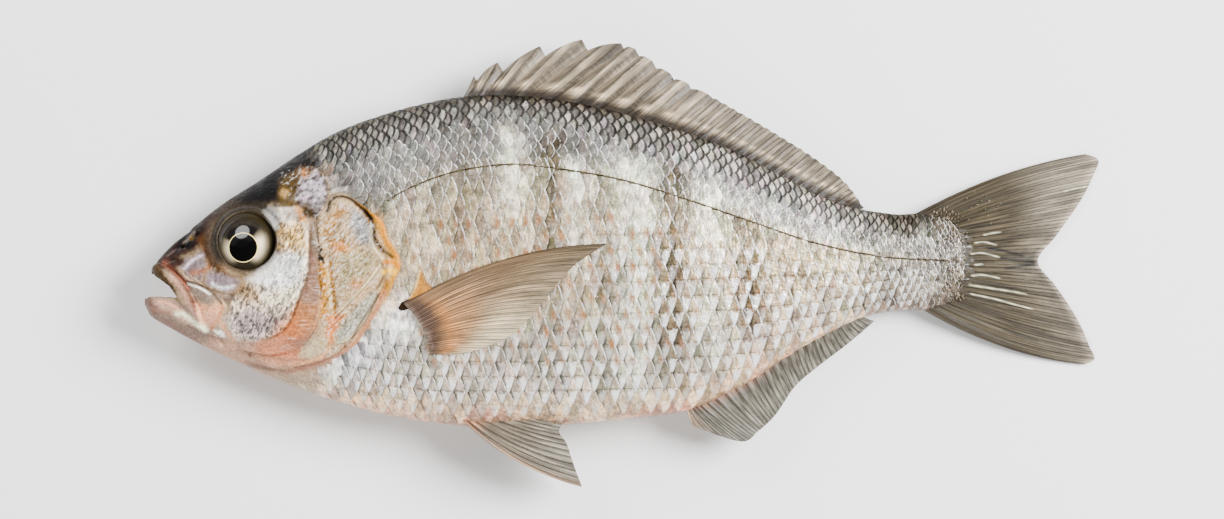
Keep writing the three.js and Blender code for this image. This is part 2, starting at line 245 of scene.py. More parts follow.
def distance_to(points, along, above, closed=False):
    """Distance in hundredths from each place to a line through drawn points."""
    p = np.array(points, float)
    if closed:
        p = np.vstack([p, p[:1]])
    nearest = np.full(np.shape(along), 1e9)
    for (x0, y0), (x1, y1) in zip(p[:-1], p[1:]):
        dx, dy = x1 - x0, y1 - y0
        t = np.clip(((along - x0) * dx + (above - y0) * dy) / max(dx * dx + dy * dy, 1e-9), 0, 1)
        nearest = np.minimum(nearest, np.hypot(along - x0 - t * dx, above - y0 - t * dy))
    return nearest


def stroke_mask(points, width, along, above):
    """Soft line: 1 on it, falling off over width hundredths."""
    fine = route(points)(np.linspace(0, 1, 6 * len(points))) if len(points) > 2 else points
    return np.exp(-((distance_to(fine, along, above) / width) ** 2))


def patch_mask(points, soft, along, above):
    """Soft-edged area: 1 inside the outline, 0 outside."""
    p = np.array(points, float)
    inside = np.zeros(np.shape(along), bool)
    for (x0, y0), (x1, y1) in zip(p, np.roll(p, -1, axis=0)):
        crosses = (y0 > above) != (y1 > above)
        inside ^= crosses & (along < (x1 - x0) * (above - y0) / (y1 - y0 + 1e-12) + x0)
    far = distance_to(p, along, above, closed=True) * np.where(inside, 1, -1)
    return between(far, -soft, soft)


# Blender's standard film look mixes the channels, bends each by a curve and mixes them again.
FILM_IN = np.array([(0.7566, 0.2019, 0.0415), (0.0632, 0.8291, 0.1078), (0.0503, 0.1063, 0.8434)])
FILM_OUT = np.array([(1.2722, -0.224, -0.0482), (-0.0623, 1.0856, -0.0233), (-0.0701, -0.1243, 1.1943)])
FILM_CURVE = [
    (0, 0), (18.7, 0.01), (31.9, 0.02), (46.3, 0.035), (57.9, 0.05), (76.5, 0.08), (95.7, 0.12),
    (117.6, 0.18), (137.8, 0.26),
    (153, 0.35), (169.6, 0.5), (186.3, 0.75), (196.6, 1), (209.3, 1.5), (219.6, 2.2), (228.4, 3.2),
    (240, 5.3), (255, 12),
]
LIGHT = 2.6  # brightness of a white surface facing up
GLOSS = 0.012  # brightness added by wet reflections


def linear(red, green, blue):
    """Surface colour that ends up as this screen colour, 0 to 255, in the studio light."""
    levels, bright = zip(*FILM_CURVE)
    bent = np.linalg.solve(FILM_OUT, (red, green, blue))
    seen = np.linalg.solve(FILM_IN, np.interp(bent, levels, bright))
    return tuple(float(c) for c in np.clip(seen / LIGHT - GLOSS, 0.002, 0.93))


def wander(along, above, reach=0.1):
    """Places shifted a little to and fro, so that painted edges run unevenly."""
    shift = np.zeros((2,) + np.shape(along))
    for turn, pitch in ((0.3, 1.9), (1.4, 1.3), (2.5, 0.85), (3.7, 0.6), (5.1, 0.42)):
        wave = 2 * math.pi * (along * math.cos(turn) + above * math.sin(turn)) / pitch
        shift += reach * math.sqrt(pitch) * 0.5 * np.stack([np.sin(wave + turn), np.cos(wave * 1.1 - turn)])
    return along + shift[0], above + shift[1]


class Paint:
    """Colours laid over each other at the given places."""

    def __init__(self, along, above):
        self.place = (along, above)
        self.along, self.above = wander(along, above)
        self.colour = np.zeros(np.shape(along) + (3,))

    def over(self, mask, colour):
        """Lays a screen colour over what is there, as far as the mask says."""
        self.colour = mix(self.colour, np.array(linear(*colour)), np.asarray(mask, float)[..., None])

    def stroke(self, points, width, colour, strength=1.0):
        drawn = sheet(points)
        self.over(strength * stroke_mask(drawn, width / FINE, *self.place), colour)

    def patch(self, points, soft, colour, strength=1.0):
        drawn = sheet(points)
        self.over(strength * patch_mask(drawn, 1.5 * soft / FINE, self.along, self.above), colour)

    def spot(self, place, radius, colour, strength=1.0):
        x, y = sheet(place)
        far = np.hypot(self.place[0] - x, self.place[1] - y) * FINE / radius
        self.over(strength * np.exp(-(far**2)), colour)


def ramp_colour(at, stops):
    """Colours along a ramp of (position, screen colour) stops."""
    places = [s[0] for s in stops]
    colours = np.array([linear(*s[1]) for s in stops])
    return np.stack([np.interp(at, places, colours[:, i]) for i in range(3)], -1)


# Ramps run from the back at -1 through the lateral line at 0 to the belly at 1.
FRONT_RAMP = [
    (-1, (62, 54, 44)), (-0.95, (96, 88, 78)), (-0.84, (146, 141, 135)), (-0.6, (156, 153, 148)),
    (-0.3, (156, 152, 146)), (-0.05, (166, 159, 148)), (0.1, (200, 192, 178)), (0.3, (204, 196, 182)),
    (0.5, (211, 202, 189)),
    (0.7, (210, 204, 197)), (0.86, (213, 207, 199)), (0.94, (214, 203, 189)), (1, (208, 185, 165)),
]
REAR_RAMP = [
    (-1, (76, 67, 54)), (-0.96, (126, 120, 112)), (-0.86, (164, 160, 155)), (-0.55, (179, 176, 174)),
    (-0.2, (189, 187, 183)), (0, (200, 194, 182)), (0.2, (215, 206, 190)), (0.5, (216, 207, 194)),
    (0.75, (214, 207, 198)), (0.92, (215, 203, 189)), (1, (208, 182, 160)),
]
TAIL_RAMP = [
    (-1, (80, 71, 60)), (-0.7, (132, 126, 117)), (-0.2, (157, 152, 143)), (0.3, (177, 171, 160)),
    (0.8, (180, 170, 159)), (1, (176, 151, 135)),
]
BARS = [  # dark bars: place along, half width, strength, from and to, by share below the line
    (33.0, 1.8, 0.62, -0.4, 0.4), (42.4, 1.3, 0.98, -0.5, 0.75), (45.6, 1.2, 0.35, 0.42, 0.75),
    (48.2, 1.2, 0.55, 0.1, 0.9),
    (54.9, 1.9, 1.0, -0.45, 0.8), (63.0, 1.8, 1.0, -0.1, 0.7), (69, 1.6, 0.32, -0.1, 0.8),
    (75.5, 1.6, 0.3, -0.4, 0.5),
]
BAR_ROWS = 1.7  # dark bars are stronger between the rows of scales, this far apart
BAR_SOFT = 0.15  # how softly a bar ends above and below
DARK_BAR, PALE_BAR = (104, 82, 48), (236, 230, 217)
BELLY_GLARE = [(334, 370), (362, 354), (392, 334), (412, 312)]
BELLY_BLUSHES = [[(464, 409), (480, 412), (502, 413)], [(640, 413), (664, 412), (688, 407)]]
PALE_BARS = [
    (38.1, 1.1, 0.6, -0.5, 0.2), (44.9, 1.0, 0.75, -0.15, 0.32), (51.0, 1.9, 0.9, -0.35, 0.85),
    (58.8, 1.6, 0.6, -0.3, 0.8),
]


def depth_below(along, above):
    """-1 at the back, 0 on the lateral line, 1 at the belly."""
    mid = line(along)
    share = np.where(above > mid, (mid - above) / (back(along) - mid), (mid - above) / (mid - belly(along)))
    return np.clip(share, -1, 1)


def flank_colour(along, above):
    """Colours of the scaled flank: ramps from back to belly, a glare, blushes and upright bars."""
    depth = depth_below(along, above)
    p = Paint(along, above)
    p.colour = mix(
        ramp_colour(depth, FRONT_RAMP), ramp_colour(depth, REAR_RAMP), between(along, 45, 60)[..., None]
    )
    p.colour = mix(p.colour, ramp_colour(depth, TAIL_RAMP), between(along, 70, 80)[..., None])
    p.over(0.9 * between(along, 80.5, 84.8), (116, 105, 90))
    p.over(0.75 * stroke_mask(sheet(BELLY_GLARE), 1.7, along, above), (228, 226, 222))
    for blush in BELLY_BLUSHES:
        p.over(0.6 * stroke_mask(sheet(blush), 0.45, along, above), (206, 150, 128))
    for bars, shade in ((PALE_BARS, PALE_BAR), (BARS, DARK_BAR)):
        for place, half, strength, top, bottom in bars:
            middle = place + 0.35 * np.sin(above * 1.7 + place)
            mask = hump(along, middle, half) * strength
            mask = mask * between(depth, top - BAR_SOFT, top + BAR_SOFT)
            mask = mask * (1 - between(depth, bottom - BAR_SOFT, bottom + BAR_SOFT))
            if bars is BARS:
                mask = mask * (0.82 + 0.18 * np.sin(2 * math.pi * above / BAR_ROWS))
            p.over(mask, shade)
    return p.colour


EYE_PLACE = (249, 241)

# Lines of the gill cover and outline of a painted highlight on the cheek, on the finer sheet
RIM_LINE = [
    (329, 212), (332, 204), (337, 199.5), (344, 198), (352, 200), (360, 206), (367, 212.5), (374, 220),
]
CHEEK_HIGHLIGHT = [(252, 279), (266, 270), (282, 255), (296, 250), (306, 262), (302, 280), (284, 288), (262, 286)]
FOLD_LINES = [
    [(384.5, 262), (374, 276), (363, 289), (350, 302), (336, 316)],
    [(374, 230), (374.5, 244), (379, 252), (385, 259.5)],
    [(335, 333), (340, 341), (352, 336), (366, 319), (376, 300), (384, 284)],
]


TEMPLE_CRACKS = [
    [(306, 182), (312, 179), (319, 181)], [(302, 192), (309, 190), (315, 193)],
    [(322, 176), (328, 184), (327, 196)],
    [(311, 199), (318, 197), (324, 203)], [(296, 188), (301, 186)],
]
TEMPLE_SPOTS = [
    (299, 196), (300, 202), (318, 177), (325, 184), (326, 196), (327, 203), (313, 178), (332, 175),
    (337, 170),
    (331, 190), (334, 180), (348, 172),
]


def head_colour(along, above):
    """Colours of the bare head, from the jaws to the gill flap."""
    p = Paint(along, above)
    p.over(1, (196, 184, 170))
    # nape goes over into the scaled flank
    p.over(between(p.along, 21, 25) * between(p.above, 4, 7), (172, 166, 158))
    # crown, forehead and snout
    p.patch([
        (120, 262), (150, 262), (168, 262), (190, 256), (206, 246), (212, 226), (226, 212), (246, 205),
        (268, 206), (284, 204), (284, 180), (300, 168), (322, 168), (336, 140), (372, 80), (120, 80),
    ], 5, (58, 45, 30))
    p.patch([
        (222, 212), (240, 198), (262, 178), (290, 160), (318, 146), (330, 166), (300, 170), (286, 178),
        (282, 200), (262, 204), (240, 203), (228, 208),
    ], 7, (44, 32, 15))
    p.patch([(282, 160), (306, 146), (330, 150), (324, 166), (300, 168), (284, 176)], 4, (50, 38, 22), 0.9)
    # painted highlight: a lighter band along the head's top outline
    p.stroke([(146, 262), (168, 240), (200, 210), (236, 184), (280, 156), (316, 134)], 4, (96, 84, 76), 0.5)
    p.patch([
        (172, 238), (200, 214), (222, 204), (216, 222), (202, 228), (186, 238), (176, 248),
    ], 4, (76, 64, 60), 0.8)
    p.stroke([(204, 206), (192, 218), (180, 232)], 3, (98, 84, 80), 0.5)
    p.stroke([(197, 237), (204, 243), (207, 253)], 4, (112, 84, 70), 0.8)
    p.patch([
        (148, 266), (158, 254), (170, 250), (182, 256), (190, 262), (178, 270), (162, 272),
    ], 3, (78, 64, 60))
    p.stroke([(163, 254), (172, 248), (180, 246)], 2, (62, 50, 46), 0.8)
    p.stroke([(166, 259), (176, 254), (187, 252)], 1.6, (80, 64, 60), 0.7)
    # painted highlight along a wrinkle of the snout
    p.stroke([(168, 256), (176, 250), (186, 248)], 1.0, (148, 134, 130), 0.7)
    p.patch([
        (175, 250), (181, 240), (193, 229), (201, 225), (201, 235), (192, 246), (184, 251),
    ], 2, (44, 35, 32), 0.9)
    # painted highlight on the nostril
    p.stroke([(184, 243), (190, 238), (195, 232)], 1.4, (156, 142, 132), 0.8)
    p.spot((192, 238), 1.6, (214, 198, 170), 0.8)
    # jaws and lips
    p.patch([
        (148, 264), (158, 266), (168, 275), (180, 290), (177, 297), (166, 286), (154, 277),
    ], 2, (110, 90, 74))
    p.stroke([(154, 270), (164, 280), (176, 292)], 2, (100, 84, 72), 0.5)
    p.stroke([(166, 263), (176, 272), (188, 286), (196, 304), (200, 320)], 4, (150, 112, 100))
    # painted highlight: a pale line along the upper lip
    p.stroke([(174, 277), (182, 287), (190, 300), (197, 316)], 1.6, (206, 186, 178), 0.8)
    p.stroke([(164, 262), (174, 270), (184, 280), (190, 288)], 1.2, (188, 148, 134), 0.7)
    p.stroke([(168, 266), (182, 276), (194, 292), (202, 316)], 1.2, (134, 92, 82), 0.7)
    p.patch([
        (143, 300), (150, 297), (176, 297), (192, 310), (207, 326), (228, 338), (240, 350), (236, 366),
        (205, 350), (170, 333), (144, 314),
    ], 2.5, (173, 155, 144))
    p.patch([(152, 300), (174, 300), (190, 312), (200, 325), (184, 322), (164, 312)], 2.5, (202, 184, 172))
    p.stroke([(148, 299), (152, 304), (156, 312)], 4, (148, 116, 102), 0.7)
    p.stroke([(150, 297), (158, 296), (168, 297), (178, 299)], 1.3, (164, 150, 124), 0.8)
    p.stroke([(160, 301), (172, 304), (182, 311)], 1.3, (224, 200, 188), 0.7)
    p.stroke([(154, 308), (168, 312), (178, 316)], 2, (186, 156, 140), 0.6)
    p.stroke([(164, 320), (184, 332), (206, 345), (232, 358)], 3, (168, 138, 124), 0.8)
    p.stroke([(190, 325), (206, 332), (224, 341)], 1.4, (140, 110, 100), 0.6)
    p.patch([(188, 279), (204, 284), (222, 300), (214, 304), (202, 302), (194, 294)], 1.5, (178, 168, 158))
    p.patch([
        (198, 303), (206, 304), (224, 304), (222, 318), (212, 330), (204, 327), (200, 316),
    ], 2, (216, 196, 182))
    # painted reflection: a white line along the lower jaw
    p.stroke([(178, 313), (186, 314), (196, 321), (207, 329)], 2.6, (238, 226, 214), 0.9)
    p.stroke([(189, 281), (202, 285), (214, 292), (224, 303)], 1.2, (66, 50, 44), 0.9)
    # painted highlight along the edge of the dark line above the upper jaw plate
    p.stroke([(190, 284), (202, 288), (212, 294)], 1.0, (236, 228, 220), 0.9)
    p.stroke([(225, 306), (222, 314), (213, 328)], 1.8, (206, 166, 140), 0.8)
    p.stroke([(222, 320), (230, 334), (236, 342)], 2.2, (210, 178, 156), 0.8)
    p.patch([(213, 330), (221, 328), (228, 338), (220, 336)], 1, (236, 228, 220), 0.9)
    p.patch([(228, 300), (240, 306), (240, 332), (230, 326), (226, 312)], 3, (178, 166, 150), 0.7)
    # plates in front of the eye
    p.patch([
        (183, 266), (188, 258), (204, 252), (208, 262), (206, 272), (200, 280), (188, 276),
    ], 1.5, (166, 156, 156))
    p.patch([
        (206, 281), (214, 270), (232, 274), (242, 281), (237, 292), (226, 292), (212, 287),
    ], 1.5, (176, 168, 170))
    p.stroke([(186, 268), (194, 260), (204, 255)], 1.6, (222, 218, 220), 0.7)
    p.stroke([(214, 284), (224, 288), (236, 286)], 1.8, (226, 222, 224), 0.7)
    p.stroke([(206, 276), (205, 282)], 1.0, (110, 92, 84), 0.8)
    p.stroke([(194, 273), (204, 271), (214, 265)], 3.2, (190, 154, 134), 0.8)
    p.patch([(214, 292), (228, 294), (240, 293), (238, 302), (230, 304), (224, 300)], 2, (158, 142, 132))
    p.stroke([(207, 240), (209, 252), (214, 262), (222, 270)], 5.5, (130, 84, 58), 0.92)
    p.stroke([(222, 271), (234, 275.5), (248, 277)], 2.6, (134, 104, 76), 0.85)
    # rim of the eye
    x, y = sheet(EYE_PLACE)
    far = np.hypot(along - x, above - y) * FINE
    turned = np.arctan2(above - y, along - x)
    # shade is 1 on the upper left of the eye and 0 on its lower right
    shade = 0.5 + 0.5 * np.cos(turned - 2.3)
    over_eye = between(np.cos(turned - 2.4), -0.05, 0.3)
    p.over(0.8 * hump(far, 40, 5, 4) * between(np.cos(turned - 2.9), 0.35, 0.7), (90, 78, 70))
    p.over(0.95 * hump(far, 34, 4.6, 4) * over_eye, (84, 77, 69))
    p.over(0.6 * hump(far, 34.2, 1.1) * over_eye, (124, 120, 115))
    p.over(0.85 * hump(far, 39, 2.6) * between(np.cos(turned - 1.35), 0.8, 0.95), (44, 36, 24))
    # painted light: the rim of the eye is lighter on its upper-left side and darker on its lower right
    rim_colour = mix(np.array(linear(86, 78, 70)), np.array(linear(112, 104, 94)), shade[..., None])
    p.colour = mix(p.colour, rim_colour, (0.95 * hump(far, 29.4, 2.3, 4))[..., None])
    p.over(0.8 * hump(far, 32.2, 0.9) * (0.4 + 0.6 * shade), (48, 42, 34))
    p.over(1 - between(far, 25.5, 27.6), (30, 26, 20))
    # painted shadow: a darker arc just behind the eye
    p.stroke([(277, 224), (281, 233), (281.5, 243), (278, 254), (271, 263)], 2.8, (112, 101, 86), 0.9)
    # cheek
    p.patch([
        (280, 206), (308, 210), (312, 232), (310, 274), (302, 293), (294, 316), (283, 331), (264, 338),
        (238, 339), (228, 322), (234, 304), (240, 294), (250, 282), (268, 272), (284, 256), (286, 230),
    ], 2, (230, 218, 212))
    # painted highlight: a near-white patch on the cheek
    p.patch(CHEEK_HIGHLIGHT, 5, (246, 241, 234), 0.9)
    p.patch([
        (236, 284), (250, 282), (262, 286), (262, 302), (248, 306), (238, 298),
    ], 5, (176, 150, 120), 0.85)
    p.patch([
        (232, 312), (250, 306), (276, 312), (292, 308), (284, 328), (264, 337), (240, 338), (230, 324),
    ], 6, (186, 177, 178), 0.85)
    p.patch([(266, 210), (278, 207), (284, 222), (274, 231)], 2.5, (184, 182, 180))
    p.patch([(284, 226), (306, 222), (310, 252), (296, 252), (286, 250)], 5, (222, 206, 178), 0.8)
    p.patch([(284, 208), (302, 211), (306, 220), (288, 222)], 2.5, (176, 168, 162), 0.8)
    p.patch([(296, 206), (308, 210), (312, 222), (302, 224)], 2.5, (214, 176, 128), 0.8)
    p.stroke([(276, 206), (290, 206), (300, 205), (312, 212)], 1.5, (52, 42, 32), 0.9)
    p.patch([(305, 208), (320, 209), (320, 219), (309, 219)], 1.4, (50, 41, 33), 0.95)
    # flange behind the cheek
    p.patch([
        (313, 220), (321, 220), (322, 257), (323, 284), (321, 316), (312, 336), (300, 349), (262, 350),
        (238, 343), (264, 339), (284, 332), (295, 316), (303, 293), (310, 274),
    ], 2, (186, 166, 154))
    p.patch([(312, 218), (322, 220), (322, 254), (313, 250)], 2, (170, 158, 146), 0.85)
    p.patch([
        (286, 318), (300, 304), (310, 318), (306, 336), (286, 348), (262, 347), (268, 340),
    ], 6, (208, 168, 140), 0.85)
    p.patch([(300, 304), (322, 304), (318, 330), (300, 332)], 4, (204, 172, 148), 0.75)
    p.stroke([
        (312, 232), (310, 274), (303, 293), (295, 316), (284, 331), (264, 339),
    ], 1.2, (128, 92, 74), 0.7)
    # throat
    p.patch([
        (200, 340), (228, 338), (246, 344), (300, 350), (336, 352), (346, 350), (318, 368), (292, 373),
        (262, 376), (232, 364), (205, 350),
    ], 4, (202, 182, 168))
    p.patch([
        (260, 342), (300, 346), (322, 354), (300, 362), (274, 360), (258, 352),
    ], 6, (212, 174, 150), 0.85)
    p.stroke([(248, 365), (276, 369), (304, 367)], 3, (168, 146, 132), 0.7)
    p.stroke([(276, 354), (290, 353), (308, 349)], 1.4, (206, 158, 132), 0.6)
    p.spot((251, 355), 2.2, (140, 104, 88), 0.8)
    # gill cover
    p.patch([
        (320, 207), (330, 203), (336, 196), (350, 196), (372, 212), (386, 224), (392, 240), (402, 256),
        (402, 270), (390, 296), (372, 323), (352, 349), (331, 358), (324, 345), (322, 313), (323, 284),
        (321, 250),
    ], 2, (204, 192, 176))
    p.patch([
        (328, 206), (338, 197), (352, 197), (364, 208), (352, 222), (334, 240), (324, 240), (323, 222),
    ], 3, (206, 196, 182))
    for x in (326, 330, 334):
        p.stroke([(x - 2, 236), (x + 4, 222), (x + 14, 210)], 1.3, (204, 168, 112), 0.7)
        p.stroke([(x, 238), (x + 8, 224), (x + 18, 213)], 0.9, (138, 120, 100), 0.6)
    p.patch([
        (354, 208), (368, 212), (374, 230), (374, 246), (362, 244), (352, 228),
    ], 4, (186, 187, 188), 0.85)
    p.patch([(334, 243), (344, 242), (352, 248), (346, 254), (337, 253)], 3, (216, 182, 148), 0.8)
    p.stroke([(330, 243), (338, 239), (347, 242), (354, 248)], 1.0, (186, 142, 92), 0.7)
    p.patch([
        (342, 254), (374, 250), (378, 262), (356, 288), (344, 292), (340, 270),
    ], 5, (198, 190, 172), 0.85)
    p.spot((358, 284), 6, (212, 178, 150), 0.7)
    p.patch([(321.5, 262), (328, 264), (330, 300), (327, 320), (322, 318)], 1.4, (206, 176, 134), 0.9)
    p.stroke([(321.5, 256), (322.5, 275), (323, 298)], 1.0, (116, 78, 44), 0.8)
    p.stroke([(331.5, 262), (335, 288), (336, 314)], 1.8, (204, 172, 124), 0.9)
    p.stroke([(328, 262), (331, 286), (331.5, 308)], 0.9, (214, 202, 182), 0.8)
    p.patch([(320, 245), (323, 250), (326, 264), (322, 262)], 0.8, (34, 26, 22), 0.95)
    p.patch([(329, 314), (345, 314), (341, 324), (334, 342), (328, 340)], 2.5, (218, 178, 150), 0.85)
    p.patch([
        (338, 332), (350, 316), (366, 298), (380, 288), (377, 304), (364, 322), (350, 338), (341, 341),
    ], 2.5, (194, 192, 186), 0.9)
    p.patch([
        (304, 348), (324, 334), (330, 340), (326, 352), (312, 358), (300, 356),
    ], 2.5, (208, 200, 186), 0.85)
    p.stroke([(330, 336), (331, 346), (322, 356), (304, 362)], 1.2, (226, 200, 176), 0.7)
    # each fold: a pale line, and a dark copy of it just below and behind as painted shade
    for points in FOLD_LINES:
        p.stroke([(x + 1, y + 1) for x, y in points], 0.9, (116, 98, 82), 0.6)
        p.stroke(points, 0.5, (240, 230, 214), 0.75)
    p.stroke([(358, 204), (368, 216), (373, 230), (374, 246)], 1.0, (96, 84, 72), 0.8)
    # soft flap
    p.stroke([
        (362, 205), (374, 216), (382, 228), (388, 242), (397, 256), (399, 268), (394, 280), (387, 292),
    ], 5.5, (200, 171, 130))
    # painted shadow along the groove inside the flap's edge
    p.stroke([(367, 211), (375, 224), (377.5, 240), (385, 250), (394, 257)], 2.6, (88, 68, 42), 0.95)
    p.stroke([(376, 214), (384, 224), (386, 234)], 2, (216, 176, 120), 0.85)
    p.stroke([(386, 240), (393, 248), (399, 256)], 2.2, (206, 170, 128), 0.85)
    p.stroke([(386, 262), (394, 262), (400, 266)], 2.4, (208, 168, 122), 0.9)
    # painted shadow, continued along the groove inside the flap's edge
    p.stroke([(383, 262), (386, 270), (384, 279), (379, 288)], 1.6, (104, 80, 54), 0.85)
    p.stroke([(386, 272), (390, 270), (396, 272)], 2.2, (224, 208, 168), 0.7)
    p.stroke([(388, 280), (387, 288), (383, 296)], 1.8, (176, 132, 86), 0.8)
    p.stroke([
        (386, 292), (376, 312), (364, 332), (352, 346), (336, 356), (312, 365), (290, 370),
    ], 3, (198, 168, 150), 0.95)
    # painted shadow, continued along the groove inside the flap's lower edge
    p.stroke([(380, 294), (373, 306), (364, 320), (354, 336)], 1.8, (112, 92, 82), 0.85)
    p.stroke([(352, 340), (338, 352), (318, 361), (296, 366)], 1.2, (150, 108, 88), 0.7)
    p.stroke(RIM_LINE, 2.3, (38, 30, 24), 0.97)
    # temple
    p.patch([
        (298, 180), (318, 172), (326, 180), (326, 202), (320, 214), (308, 206), (298, 200),
    ], 2.5, (200, 196, 198))
    p.patch([(280, 204), (282, 180), (296, 171), (304, 176), (298, 200), (292, 206)], 3, (104, 82, 56), 0.95)
    p.spot((306, 174), 4, (206, 164, 124), 0.8)
    p.spot((286, 193), 4, (214, 198, 172), 0.7)
    p.patch([(328, 176), (340, 171), (356, 172), (360, 184), (350, 192), (334, 192)], 3, (182, 178, 175))
    p.patch([(356, 184), (372, 184), (375, 198), (369, 209), (360, 203), (352, 197)], 3, (84, 74, 58), 0.95)
    p.stroke([(336, 196), (346, 191), (356, 190)], 2, (126, 116, 106), 0.7)
    p.stroke([(280, 206), (300, 203), (312, 205)], 1.2, (110, 92, 60), 0.8)
    for crack in TEMPLE_CRACKS:
        p.stroke(crack, 1.5, (74, 62, 52), 0.9)
    for spot in TEMPLE_SPOTS:
        p.spot(spot, 2.3, (52, 46, 42), 0.95)
    p.patch([(300, 204), (324, 203), (322, 221), (306, 217)], 2, (84, 68, 50), 0.75)
    grey = p.colour.mean(-1, keepdims=True)
    lower = between(-(above + 0.3 * along), 2.6, 3.6)
    return np.clip(grey + mix(1.28, 1.05, lower)[..., None] * (p.colour - grey), 0.002, 0.93)


def head_marks(along, above):
    """How far the head shows small scales, wrinkles, flecks with painted glints and, in the alpha channel,
    fine cross lines.
    """
    def area(points, soft):
        return patch_mask(sheet(points), soft / FINE, along, above)

    scaly = area([
        (282, 222), (306, 216), (311, 274), (303, 293), (295, 316), (284, 332), (264, 339), (238, 339),
        (229, 320), (232, 296), (246, 284), (276, 272),
    ], 4)
    nape = area([
        (306, 176), (318, 148), (352, 100), (430, 110), (430, 190), (376, 206), (360, 186), (340, 172),
        (322, 172),
    ], 4)
    creased = area([
        (316, 208), (330, 202), (350, 194), (374, 210), (384, 232), (386, 256), (374, 300), (350, 346),
        (326, 352), (322, 300),
    ], 4)
    flecks_and_glints = area([(268, 208), (306, 212), (312, 232), (304, 262), (288, 262), (286, 236)], 7)
    flecks_and_glints = np.maximum(flecks_and_glints, area([
        (284, 172), (322, 166), (344, 190), (330, 206), (296, 204), (282, 190),
    ], 6))
    flecks_and_glints = np.maximum(flecks_and_glints, 0.22 * area([
        (184, 266), (204, 253), (242, 280), (236, 292), (188, 276),
    ], 4))
    for points in (RIM_LINE, *FOLD_LINES, [
        (362, 205), (376, 217), (384, 230), (388, 244), (397, 257), (399, 268), (392, 286),
    ]):
        creased = creased * (1 - stroke_mask(sheet(points), 3.2 / FINE, along, above))
    lined = area([
        (311, 236), (322, 236), (322, 300), (316, 330), (300, 346), (284, 346), (298, 320), (306, 292),
    ], 3)
    lined = np.maximum(lined, 0.6 * area([(330, 262), (376, 246), (384, 260), (340, 312)], 4))
    # fewer small scales show under the painted highlight on the cheek
    scaly = scaly * (1 - 0.35 * area(CHEEK_HIGHLIGHT, 5))
    front = area([(262, 200), (310, 206), (318, 270), (262, 270)], 3)
    return np.stack([np.maximum(scaly, 0.9 * nape), creased, flecks_and_glints * (0.9 - 0.35 * front), lined], -1)


# ---- Meshes


def place_mesh(
    name, points, faces, material, tone=None, marks=None, uv=None, node="fish",
    angle=math.radians(40)
):
    """Makes a piece of the fish from points in millimetres, facing out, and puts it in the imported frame."""
    points = np.asarray(points, float).reshape(-1, 3) * MM
    mesh = bpy.data.meshes.new(name)
    mesh.from_pydata(points.tolist(), [], [list(f) for f in faces])
    mesh.validate()
    piece = bpy.data.objects.new(name, mesh)
    bpy.context.scene.collection.objects.link(piece)
    for label, values in (("tone", tone), ("marks", marks)):
        if values is not None:
            dress(mesh, label, values)
    if uv is not None:
        layer = mesh.uv_layers.new(name="UVMap")
        order = np.empty(len(mesh.loops), int)
        mesh.loops.foreach_get("vertex_index", order)
        layer.data.foreach_set("uv", np.asarray(uv, float).reshape(-1, 2)[order].ravel())
    if volume_of(mesh) < 0:
        mesh.flip_normals()
    finish_piece(piece, material, node, angle)
    return piece


def dress(mesh, label, values):
    """Colours stored on the points of a mesh."""
    values = np.asarray(values, float).reshape(len(mesh.vertices), -1)
    if values.shape[1] == 3:
        values = np.hstack([values, np.ones((len(values), 1))])
    layer = mesh.attributes.new(label, "FLOAT_COLOR", "POINT")
    layer.data.foreach_set("color", values.astype(np.float32).ravel())


def volume_of(mesh):
    mesh.calc_loop_triangles()
    corners = np.empty(3 * len(mesh.loop_triangles), int)
    mesh.loop_triangles.foreach_get("vertices", corners)
    places = points_of(mesh)[corners].reshape(-1, 3, 3)
    return float(np.einsum("ij,ij->i", places[:, 0], np.cross(places[:, 1], places[:, 2])).sum()) / 6


def points_of(mesh):
    places = np.empty(3 * len(mesh.vertices))
    mesh.vertices.foreach_get("co", places)
    return places.reshape(-1, 3)


def finish_piece(piece, material, node="fish", angle=math.radians(40)):
    piece.data.materials.clear()
    piece.data.materials.append(material)
    select_only(piece)
    bpy.ops.object.shade_smooth_by_angle(angle=angle)
    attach(piece, "root")
    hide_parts(node)


def select_only(piece):
    bpy.ops.object.select_all(action="DESELECT")
    piece.select_set(True)
    bpy.context.view_layer.objects.active = piece


def grid_faces(columns, rows, start=0, flip=False):
    i, j = np.meshgrid(np.arange(columns - 1), np.arange(rows - 1), indexing="ij")
    a = start + i * rows + j
    quads = np.stack([a, a + rows, a + rows + 1, a + 1], -1).reshape(-1, 4)
    return quads[:, ::-1] if flip else quads


def grid_rim(columns, rows):
    """Numbers of the points round the edge of a grid, in order."""
    number = np.arange(columns * rows).reshape(columns, rows)
    return np.concatenate([number[:, 0], number[-1, 1:], number[-2::-1, -1], number[0, -2:0:-1]])


def slab(top, bottom):
    """Closed solid between two grids of points of the same size."""
    columns, rows = top.shape[:2]
    count = columns * rows
    edge = grid_rim(columns, rows)
    following = np.roll(edge, -1)
    wall = np.stack([following, edge, edge + count, following + count], -1)
    faces = np.vstack([grid_faces(columns, rows), grid_faces(columns, rows, count, flip=True), wall])
    return np.concatenate([top.reshape(-1, 3), bottom.reshape(-1, 3)]), faces


def loft(rings):
    """Closed solid through rings of points, each end closed round a middle point."""
    stations, around = rings.shape[:2]
    i, k = np.meshgrid(np.arange(stations - 1), np.arange(around), indexing="ij")
    n = (k + 1) % around
    quads = np.stack(
        [i * around + k, i * around + n, (i + 1) * around + n, (i + 1) * around + k], -1
    ).reshape(-1, 4)
    points = np.vstack([rings.reshape(-1, 3), rings[0].mean(0)[None], rings[-1].mean(0)[None]])
    first, last = stations * around, stations * around + 1
    tail = (stations - 1) * around
    caps = [[first, (k + 1) % around, k] for k in range(around)]
    caps += [[last, tail + k, tail + (k + 1) % around] for k in range(around)]
    return points, [list(q) for q in quads] + caps


# ---- Shader building


